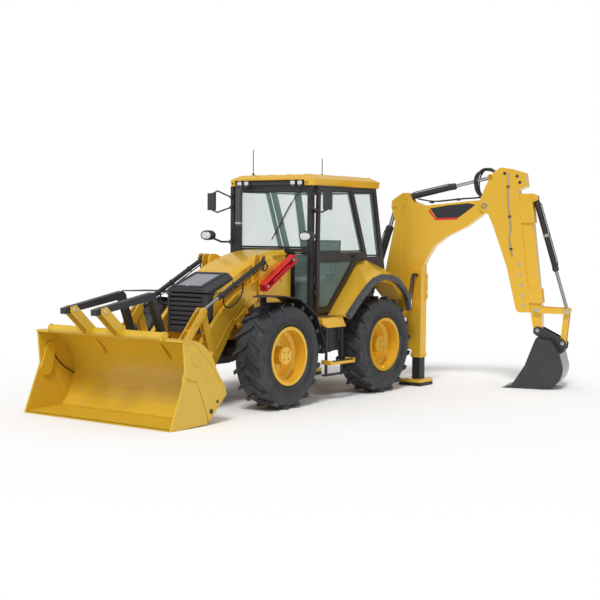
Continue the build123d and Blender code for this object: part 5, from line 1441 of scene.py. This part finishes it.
@dataclass
class SeatCushions:
    """Padded cushions of the operator's seat, with the seat's own base, side panels and armrests.

    The pieces together stand for the plain CAD seat.

    Attributes:
        grid: edge of the even mesh that is filled, in metres.
        pressure: force that fills a cushion.
        stiffness: how much the cloth resists stretch and squeeze.
        steps: how many frames the simulation runs.
        reach: the farthest that a point may move, in metres.
        stitches: distances of the held lines from a cushion's middle, in metres.
    """

    grid: float = 0.012
    pressure: float = 4.0
    stiffness: float = 30.0
    steps: int = 20
    reach: float = 0.014
    stitches: tuple[float, float] = (0.11, 0.205)

    def build(self) -> list[bpy.types.Object]:
        """Builds the seat."""
        base = self.cushion("seat_cushion", (-70, 400, -225, 225, 1508, 1600), lean_deg=4.0)
        back = self.cushion("seat_backrest", (-175, -45, -215, 215, 1610, 2080), lean_deg=-8.0)
        shell = [(-110, 1470), (405, 1480), (412, 1510), (-60, 1510), (-120, 1620), (-190, 2110),
                 (-206, 2100), (-150, 1600)]
        shell_piece = shaped(
            "seat_shell", "seat", BLACK_PLASTIC, plate(shell, side_place, -236, 236, bevel=0.006))
        post = [(0.0, 0.0), (0.120, 0.0), (0.120, 0.030), (0.098, 0.036), (0.094, 0.08)]
        folds = [(0.094 + 0.010 * (k % 2), 0.10 + 0.024 * k) for k in range(10)]
        bellows = post + folds + [(0.0, 0.336)]
        stand = shaped("seat_suspension", "seat", HOSE, lathe(bellows, PLACE.at(150, 0, 1130), UPWARD, 32))
        rests = []
        for s in (1, -1):
            rests.append(plate([(-70, 1782), (240, 1776), (256, 1796), (240, 1820), (-70, 1824), (-84, 1803)],
                               side_place, s * 242, s * 300, bevel=0.010))
            rests.append(plate(band([(-110, 1640), (-95, 1720), (-62, 1792)], 40), side_place,
                               s * 236, s * 262, bevel=0.004))
        arms = shaped("seat_armrests", "seat", BLACK_PLASTIC, *rests)
        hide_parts("seat")
        return [base, back, shell_piece, stand, arms]

    def cushion(self, name: str, span: tuple[float, float, float, float, float, float],
                lean_deg: float) -> bpy.types.Object:
        """Makes one padded cushion by inflating a soft block with cloth pressure.

        Args:
            name: the piece's name.
            span: low and high x, y and z in millimetres.
            lean_deg: how far it leans about the cross axis.

        Returns:
            The cushion.
        """
        x0, x1, y0, y1, z0, z1 = span
        bm = bmesh.new()
        bmesh.ops.create_cube(bm, size=1.0)
        centre = PLACE.at((x0 + x1) / 2, (y0 + y1) / 2, (z0 + z1) / 2)
        size = Vector(((x1 - x0) * MM - 0.02, (y1 - y0) * MM - 0.02, (z1 - z0) * MM - 0.02))
        turn = Matrix.Rotation(math.radians(lean_deg), 4, "Y")
        bmesh.ops.transform(bm, matrix=Matrix.Translation(centre) @ turn @ Matrix.Diagonal((*size, 1.0)),
                            verts=bm.verts)
        bmesh.ops.bevel(bm, geom=list(bm.edges), offset=0.022, segments=3, affect="EDGES", profile=0.6)
        mesh = bpy.data.meshes.new(name)
        bm.to_mesh(mesh)
        bm.free()
        piece = placed(name, mesh)
        remesh = piece.modifiers.new("even", "REMESH")
        remesh.mode = "VOXEL"
        remesh.voxel_size = self.grid
        self.apply(piece)
        self.pin_stitch_lines(piece, centre)
        self.inflate(piece)
        smooth = piece.modifiers.new("smooth", "SUBSURF")
        smooth.levels = smooth.render_levels = 1
        self.apply(piece)
        mesh = piece.data
        bpy.data.objects.remove(piece)
        made = finish_piece(name, mesh, SEAT_CLOTH, "seat", "seat_cloth", smooth_deg=80)
        return made

    def pin_stitch_lines(self, piece: bpy.types.Object, centre: Vector) -> None:
        """Holds the cushion's stitch lines and side seams, which stay put as it fills."""
        group = piece.vertex_groups.new(name="held")
        for vertex in piece.data.vertices:
            offset = vertex.co - centre
            if min(abs(abs(offset.y) - line) for line in self.stitches) < 0.007:
                group.add([vertex.index], 1.0, "REPLACE")

    def inflate(self, piece: bpy.types.Object) -> None:
        """Runs a short pressure simulation and keeps its result, with each move held short."""
        before = [vertex.co.copy() for vertex in piece.data.vertices]
        cloth = piece.modifiers.new("cloth", "CLOTH")
        cloth.settings.use_pressure = True
        cloth.settings.uniform_pressure_force = self.pressure
        cloth.settings.effector_weights.gravity = 0.0
        cloth.settings.vertex_group_mass = "held"
        cloth.settings.tension_stiffness = self.stiffness
        cloth.settings.compression_stiffness = self.stiffness
        scene = bpy.context.scene
        scene.frame_start, scene.frame_end = 1, self.steps
        for number in range(1, self.steps + 1):
            scene.frame_set(number)
        moved = baked(piece)
        for vertex, start, reached in zip(piece.data.vertices, before, moved.vertices):
            step = reached.co - start
            vertex.co = start + step * min(1.0, self.reach / max(step.length, 1e-9))
        piece.modifiers.remove(cloth)
        bpy.data.meshes.remove(moved)
        scene.frame_set(1)

    def apply(self, piece: bpy.types.Object) -> None:
        """Replaces the piece's mesh by its evaluated one and removes the modifiers."""
        mesh = baked(piece)
        piece.modifiers.clear()
        piece.data = mesh


# ------------------------------------------------------------------ chassis
@dataclass
class FenderDetails:
    """Arch strip, sill, treads, tank cap and straps of one side.

    Attributes:
        side: the machine's side.
        inset: share of the fender's outline, from the axle, at which the strip lies.
    """

    side: Side
    inset: float = 0.962

    def build(self) -> Iterator[bpy.types.Object]:
        """Builds the side's pieces."""
        s = self.side.value
        tag = self.side.label
        arch_line = [(940, 1112), (890, 1131), (655, 1342), (420, 1531), (250, 1604), (80, 1651),
                     (-130, 1640), (-350, 1581), (-520, 1455), (-640, 1330), (-676, 1130)]
        line = [(a * self.inset, AXLE_HEIGHT + (b - AXLE_HEIGHT) * self.inset) for a, b in arch_line]
        yield shaped(
            f"arch_strip_{tag}", "chassis", TRIM_GREY,
            plate(band(line, 74), side_place, s * 1085, s * 1150, bevel=0.010))
        bolts = [(side_place(*line[i], s * 1150), ACROSS * s) for i in (2, 4, 6, 8)]
        yield FASTENERS.make(f"arch_bolts_{tag}", bolts, BLACK_PAINT, "chassis", 0.008)
        sill = [(812, 964), (1250, 964), (1372, 1020), (1380, 1085), (1362, 1098), (915, 1098), (905, 1070)]
        yield shaped(
            f"cab_sill_{tag}", "chassis", YELLOW, plate(sill, side_place, s * 965, s * 1040, bevel=0.006))
        ledge = [(905, s * 706), (1340, s * 706), (1340, s * 1036), (905, s * 1036)]

        yield shaped(
            f"cab_step_plate_{tag}", "chassis", YELLOW, plate(ledge, PLACE.at, 1062, 1092, bevel=0.003))
        grips = []
        for i in range(9):
            for k in range(4):
                grips.append((PLACE.at(945 + 46 * i, s * (790 + 70 * k), 1092), UPWARD))
        yield FASTENERS.make(f"step_grip_studs_{tag}", grips, TRIM_GREY, "chassis", 0.008)
        bar = [(776, 486), (1344, 486), (1344, 546), (1310, 546), (1310, 522), (810, 522), (810, 546),
               (776, 546)]
        yield shaped(
            f"step_bar_{tag}", "chassis", YELLOW,
            plate(bar, side_place, s * 1150.5, s * 1160, bevel=0.002),
            plate([(776, 486), (790, 486), (790, 546), (776, 546)], side_place, s * 1004, s * 1151,
                  bevel=0.002),
            plate([(1330, 486), (1344, 486), (1344, 546), (1330, 546)], side_place, s * 1004, s * 1151,
                  bevel=0.002))
        teeth = []
        for i in range(11):
            teeth.append((PLACE.at(815 + 48 * i, s * 1030, 350.3), UPWARD))
        yield FASTENERS.make(f"lower_step_studs_{tag}", teeth, TRIM_GREY, "chassis", 0.008)
        cap_place = PLACE.at(1180, s * 960.5, 880)
        yield shaped(
            f"tank_cap_{tag}", "chassis", BLACK_PLASTIC,
            lathe([(0.0, 0.0), (0.046, 0.0), (0.046, 0.022), (0.040, 0.028), (0.018, 0.028), (0.016, 0.020),
                   (0.0, 0.020)], cap_place, ACROSS * s, 12))
        straps = [plate(band([(x, 652 - (x - 820) * 0.09), (x, 958)], 34), side_place,
                        s * 959.5, s * 965, bevel=0.001) for x in (910, 1090)]
        yield shaped(f"tank_straps_{tag}", "chassis", CASTING, *straps)


@dataclass
class ExhaustDetails:
    """Clamps with their bracket ears, and the shield of the exhaust stack."""

    centre: tuple[float, float] = (1290.0, -450.0)

    def build(self) -> Iterator[bpy.types.Object]:
        """Builds the pieces."""
        x, y = self.centre
        clamps = [lathe([(0.0485, -0.014), (0.053, -0.014), (0.053, 0.014), (0.0485, 0.014),
                         (0.0485, -0.014)], PLACE.at(x, y, z), UPWARD, 32) for z in (1420, 1900, 2340)]
        ears = [pipe([PLACE.at(x - 62, y, z), PLACE.at(x - 40, y, z)], 0.007, 8) for z in (1420, 1900, 2340)]
        shield = []
        for i in range(10):
            t = math.radians(-60 + 120 * i / 9)
            px, py = x + math.cos(t) * 66, y + math.sin(t) * 66
            shield.append(pipe([PLACE.at(px, py, 1960), PLACE.at(px, py, 2300)], 0.003, 6, smooth=False))
        hoops = []
        for z in (1975, 2130, 2285):
            line = [PLACE.at(x + math.cos(math.radians(a)) * 66, y + math.sin(math.radians(a)) * 66, z)
                    for a in range(-70, 71, 14)]
            hoops.append(pipe(line, 0.004, 6))
        feet = [pipe([PLACE.at(x + 48, y, z), PLACE.at(x + 66, y, z)], 0.004, 6) for z in (1975, 2130, 2285)]
        yield shaped("exhaust_clamps", "chassis", STEEL, *(clamps + ears))
        yield shaped("exhaust_shield", "chassis", BLACK_PAINT, *(shield + hoops + feet))


@dataclass
class StabiliserDetails:
    """Yellow pad cover, rubber sole, column bracket, bolts and hoses of one stabiliser."""

    side: Side
    x: float = -1045.0
    y: float = 1045.0

    def build(self) -> Iterator[bpy.types.Object]:
        """Builds the stabiliser's pieces."""
        s = self.side.value
        tag = self.side.label
        leg = f"stabiliser_leg_{tag}"

        near, far = sorted((s * (self.y - 218), s * (self.y + 138)))
        pad = [(self.x - 178, near), (self.x + 178, near), (self.x + 178, far), (self.x - 178, far)]
        sole = [(self.x - 182, near - 4), (self.x + 182, near - 4), (self.x + 182, far + 4),
                (self.x - 182, far + 4)]
        inner = [(self.x - 66, s * self.y - 62), (self.x + 66, s * self.y - 62),
                 (self.x + 66, s * self.y + 62), (self.x - 66, s * self.y + 62)]
        yield shaped(f"pad_plate_{tag}", leg, YELLOW, frame_ring(pad, inner, PLACE.at, 52, 96))
        yield shaped(
            f"pad_sole_{tag}", leg, HOSE,
            plate(sole, PLACE.at, 1.5, 50, bevel=0.006), slot_name="tyre")
        nuts = [(PLACE.at(self.x + dx, s * self.y + dy, 96), UPWARD) for dx in (-145, 145)
                for dy in (-95, 90)]
        yield FASTENERS.make(f"pad_bolts_{tag}", nuts, STEEL, leg, 0.012)
        face = s * (self.y + 75)
        collar = [(self.x - 60 + 40 * i, 440) for i in range(4)]
        bolts = [(PLACE.at(a, face + s * 8.3, b), ACROSS * s) for a, b in collar]
        bolts += [(PLACE.at(self.x + dx, face + s * 0.3, z), ACROSS * s) for dx in (-55, 55)
                  for z in (560, 1060, 1690)]
        yield FASTENERS.make(f"column_bolts_{tag}", bolts, YELLOW, "chassis", 0.011)
        back = self.x - 80
        bracket = [(back + 40, 1240), (back - 8, 1246), (back - 18, 1300), (back - 18, 1580),
                   (back - 8, 1634), (back + 40, 1640)]
        yield shaped(
            f"column_bracket_{tag}", "chassis", YELLOW,
            plate(bracket, side_place, s * (self.y + 75.3), s * (self.y + 87), bevel=0.002))
        # Black discs on the bracket are painted shade standing for its holes, which are not cut.
        holes = [cap(PLACE.at(back + 10, s * (self.y + 87), z), ACROSS * s, 0.012, 0.003)
                 for z in (1300, 1420, 1580)]
        yield shaped(f"column_bracket_holes_{tag}", "chassis", BLACK_PLASTIC, *holes)
        top = self.x + 81
        hoses = []
        for k in range(3):
            dy = -30 + 26 * k
            hoses.append(pipe([PLACE.at(top - 4, s * (self.y + dy), 1590), PLACE.at(top + 34,
                               s * (self.y + dy), 1640), PLACE.at(top + 84, s * (self.y + dy - 6), 1600 + 8
                               * k), PLACE.at(top + 96, s * (self.y + dy - 14), 1440), PLACE.at(top + 130,
                               s * (self.y + dy - 24), 1290 - 14 * k), PLACE.at(top + 210,
                               s * (self.y + dy - 34), 1250 - 10 * k), PLACE.at(-686, s * (self.y + dy - 40),
                               1300 - 12 * k)], 0.009, 10))
        yield shaped(f"column_hoses_{tag}", "chassis", HOSE, *hoses)
        cover = [(self.x - 80, s * self.y - 75), (self.x + 80, s * self.y - 75),
                 (self.x + 80, s * self.y + 75), (self.x - 80, s * self.y + 75)]
        yield shaped(
            f"column_cap_{tag}", "chassis", YELLOW, plate(cover, PLACE.at, 1744.5, 1757, bevel=0.004))


@dataclass
class LockStrutDetails:
    """Raised edges, rib and two bolts of the red lift-arm lock."""

    def build(self) -> Iterator[bpy.types.Object]:
        """Builds the strut's pieces."""
        outline = [(1975, 1455), (2030, 1545), (1390, 1925), (1335, 1835)]
        rim = frame_ring(outline, shrunk(outline, 14), side_place, 584, 594)
        rib = plate(band([(1500, 1788), (1850, 1582)], 18), side_place, 584, 592, bevel=0.002)
        yield shaped("lock_strut_edges", "chassis", RED_PAINT, rim, rib)
        yield FASTENERS.make(
            "lock_strut_bolts",
            [(PLACE.at(1948, 584.5, 1522), ACROSS), (PLACE.at(1400, 584.5, 1860), ACROSS)], STEEL, "chassis",
            0.014)


# ------------------------------------------------------------------ backhoe
@dataclass
class BoomDetails:
    """Weld seams, bare side panels with their red strip, pins and hoses of the boom."""

    half: float = 100.0

    def build(self) -> Iterator[bpy.types.Object]:
        """Builds the boom's pieces."""
        seam = band([(560, 2700), (470, 2560), (450, 2300), (450, 2000), (450, 1600), (425, 1380),
                     (370, 1240), (300, 1225), (252, 1320), (240, 1500)], 20)
        panel = [(900, 2585), (1180, 2632), (1480, 2662), (1580, 2640), (1480, 2560), (1330, 2450),
                 (1010, 2430)]
        red = band([(885, 2560), (985, 2425), (1320, 2440)], 30)
        side_vector = PLACE.hoe_side()
        for sign, tag in ((1, "near"), (-1, "far")):
            face = sign * self.half
            way = side_vector * sign
            ends = (face - sign, face + sign * 9)
            yield shaped(f"boom_seam_{tag}", "boom", YELLOW, plate(seam, PLACE.hoe, *ends, bevel=0.002))
            yield shaped(
                f"boom_bare_panel_{tag}", "boom", BLACK_PAINT,
                plate(panel, PLACE.hoe, face - sign, face + sign * 3, bevel=0.001))
            yield shaped(
                f"boom_red_strip_{tag}", "boom", RED_PAINT,
                plate(red, PLACE.hoe, face - sign, face + sign * 4, bevel=0.001))
            yield shaped(
                f"boom_pin_bosses_{tag}", "boom", STEEL, cap(PLACE.hoe(300, 720, face), way, 0.062, 0.004))
        line = [(700, 2722), (900, 2675), (1150, 2700), (1400, 2728), (1560, 2732), (1640, 2745)]
        tubes = []
        for k in range(4):
            w = -60 + 40 * k
            tubes.append(pipe([PLACE.hoe(u, v + 6, w) for u, v in line], 0.010, 10))
        yield shaped("boom_hard_lines", "boom", HOSE, *tubes)
        clamps = [plate([(u - 16, -84), (u + 16, -84), (u + 16, 84), (u - 16, 84)],
                        lambda a, b, o, v=v: PLACE.hoe(a, v + o, b), -10, 24, bevel=0.002)
                  for u, v in ((900, 2672), (1300, 2712))]
        yield shaped("boom_line_clamps", "boom", CASTING, *clamps)


@dataclass
class StickDetails:
    """Steel pipe, bolt rows, pins and hose loops of the stick and its extension.

    Attributes:
        half: half the stick's width.
        taper: slope of the stick's far edge, which the bolt row follows.
    """

    half: float = 130.0
    taper: float = 0.115

    def build(self) -> Iterator[bpy.types.Object]:
        """Builds the stick's pieces."""
        side_vector = PLACE.hoe_side()
        for sign, tag in ((1, "near"), (-1, "far")):
            face = sign * self.half
            way = side_vector * sign
            pins = [(1720, 2625, 50), (1800, 3040, 34)]
            yield shaped(
                f"stick_pin_heads_{tag}", "stick", STEEL,
                *(cap(PLACE.hoe(u, v, face), way, r * MM, 0.012) for u, v, r in pins))
            pipe_line = [(2075, 3100), (2060, 3000), (2065, 2700), (2095, 2450), (2120, 2250), (2090, 2180),
                         (2105, 2080), (2140, 1900)]
            yield shaped(
                f"stick_pipe_{tag}", "stick", STEEL,
                pipe([PLACE.hoe(u, v, face + sign * 13) for u, v in pipe_line], 0.009, 10))
            clips = [plate([(u - 20, v - 14), (u + 20, v - 14), (u + 20, v + 14), (u - 20, v + 14)],
                           PLACE.hoe, face, face + sign * 24, bevel=0.002)
                     for u, v in ((2063, 2900), (2092, 2470), (2120, 2000))]
            yield shaped(f"stick_pipe_clips_{tag}", "stick", CASTING, *clips)
            row = [(PLACE.hoe(2327 - self.taper * (v - 1085), v, face + sign * 0.5), way)
                   for v in (1180, 1330, 1480, 1630, 1780)]
            yield FASTENERS.make(f"stick_bolt_row_{tag}", row, STEEL, "stick", 0.015)
            # Black discs on the stick's sides are painted shade standing for its holes, which are not cut.
            holes = [cap(PLACE.hoe(u, v, face + sign * 0.3), way, 0.024, 0.002)
                     for u, v in ((2010, 3090), (2190, 3050), (2230, 2960))]
            yield shaped(f"stick_holes_{tag}", "stick", BLACK_PLASTIC, *holes)
            lever = [cap(PLACE.hoe(2505, 1125, sign * 149), way, 0.034, 0.010)]
            yield shaped(f"hoe_lever_pins_{tag}", "extension_stick", STEEL, *lever)
            link = [cap(PLACE.hoe(2925, 1115, sign * 145), way, 0.032, 0.010)]
            yield shaped(f"hoe_link_pins_{tag}", "hoe_lever", STEEL, *link)
        loops = []
        for k, w in enumerate((-92, 92, -66, 66)):
            loops.append(pipe([PLACE.hoe(1850, 3105, w), PLACE.hoe(1790, 3172 - 8 * k, w),
                               PLACE.hoe(1690 - 18 * k, 3178 - 14 * k, w), PLACE.hoe(1600 - 14 * k, 3060, w),
                               PLACE.hoe(1585 - 10 * k, 2920, w), PLACE.hoe(1610 - 6 * k, 2800, w),
                               PLACE.hoe(1668, 2745, w)], 0.012, 12))
        hoses = shaped("stick_head_hoses", None, HOSE, *loops)
        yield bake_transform(hoses, "boom", "stick", PLACE.hoe(1640, 2780), PLACE.hoe(1790, 3120))


@dataclass
class HoeBucketDetails:
    """Pin heads of the backhoe bucket."""

    def build(self) -> Iterator[bpy.types.Object]:
        """Builds the bucket's pieces."""
        side_vector = PLACE.hoe_side()
        for sign, tag in ((1, "near"), (-1, "far")):
            pins = [(2520, 830, 30), (2880, 655, 28)]
            yield shaped(
                f"hoe_bucket_pins_{tag}", "hoe_bucket", STEEL,
                *(cap(PLACE.hoe(u, v, sign * 127), side_vector * sign, r * MM, 0.012) for u, v, r in pins))


@dataclass
class CylinderDetails:
    """Collars, side pipe and wiper seal of one backhoe cylinder."""

    name: str
    base: tuple[float, float]
    tip: tuple[float, float]
    radius: float
    rod: float
    length: float
    lift: float = 1.0
    light_band: bool = False

    def along(self, distance: float, lift: float = 0.0) -> Vector:
        """Place at a distance along the cylinder, lifted square to it."""
        heading = Vector((self.tip[0] - self.base[0], self.tip[1] - self.base[1])).normalized()
        return PLACE.hoe(self.base[0] + heading.x * distance - heading.y * lift,
                         self.base[1] + heading.y * distance + heading.x * lift)

    def build(self) -> Iterator[bpy.types.Object]:
        """Builds the cylinder's pieces."""
        heading = (self.along(100) - self.along(0)).normalized()
        r = self.radius * MM
        collar = [(r + 0.0003, -0.014), (r + 0.006, -0.012), (r + 0.006, 0.012), (r + 0.0003, 0.014)]
        rings = [lathe(collar + collar[:1], self.along(d), heading, 36) for d in (90, self.length - 30)]
        off = (self.radius + 12) * self.lift
        line = [self.along(80, (self.radius - 2) * self.lift), self.along(110, off), self.along(160, off),
                self.along(self.length - 160, off), self.along(self.length - 90, off),
                self.along(self.length - 60, (self.radius - 2) * self.lift)]
        inner = self.rod * MM + 0.0005
        seal = [(inner, 0.0), (r * 0.85, 0.002), (r * 0.80, 0.012), (inner, 0.014)]
        body = f"{self.name}_barrel"
        yield shaped(f"{self.name}_collars", body, CASTING, *rings)
        yield shaped(f"{self.name}_pipe", body, BLACK_PAINT, pipe(line, 0.007, 10))
        yield shaped(
            f"{self.name}_seal", body, BLACK_PLASTIC,
            lathe(seal + seal[:1], self.along(self.length + 0.5), heading, 32))
        if self.light_band:
            wide = [(r + 0.0003, -0.022), (r + 0.004, -0.022), (r + 0.004, 0.022), (r + 0.0003, 0.022)]
            yield shaped(
                f"{self.name}_clamp_band", body, STEEL,
                lathe(wide + wide[:1], self.along(self.length * 0.52), heading, 36))


def main() -> None:
    """Builds the whole visual model and reports it."""
    logging.basicConfig(level=logging.INFO, format="%(message)s")
    low, high = PLACE.box
    Studio().build()
    NodeDresser().build()
    LOG.info("studio and finishes built")
    for machine_part in MACHINE_PARTS:
        made = list(machine_part.build())
        LOG.info("%s: %d pieces", type(machine_part).__name__, len(made))
    end_low, end_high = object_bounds()
    {"load": [list(low), list(high)], "finish": [list(end_low), list(end_high)]}


MACHINE_PARTS: list = [
    *(WheelDetails(side, end, axle_x) for end, axle_x in (("rear", 0.0), ("front", 2200.0)) for side in Side),
    *(ArmDetails(side) for side in Side),
    *(TiltDetails(side) for side in Side),
    LoaderBucketDetails(),
    ForkDetails(),
    HoodDetails(),
    CabDetails(),
    *(DoorDetails(side) for side in Side),
    InteriorDetails(),
    SeatCushions(),
    *(FenderDetails(side) for side in Side),
    ExhaustDetails(),
    *(StabiliserDetails(side) for side in Side),
    LockStrutDetails(),
    BoomDetails(),
    StickDetails(),
    HoeBucketDetails(),
    CylinderDetails("boom", (-60.0, 1240.0), (360.0, 2640.0), 54.0, 32.0, 1120.0),
    CylinderDetails("stick", (530.0, 2745.0), (1800.0, 3040.0), 44.0, 27.0, 750.0),
    CylinderDetails("bucket", (2442.0, 2740.0), (2925.0, 1115.0), 42.0, 26.0, 1090.0, light_band=True),
]

if __name__ == "__main__":
    main()
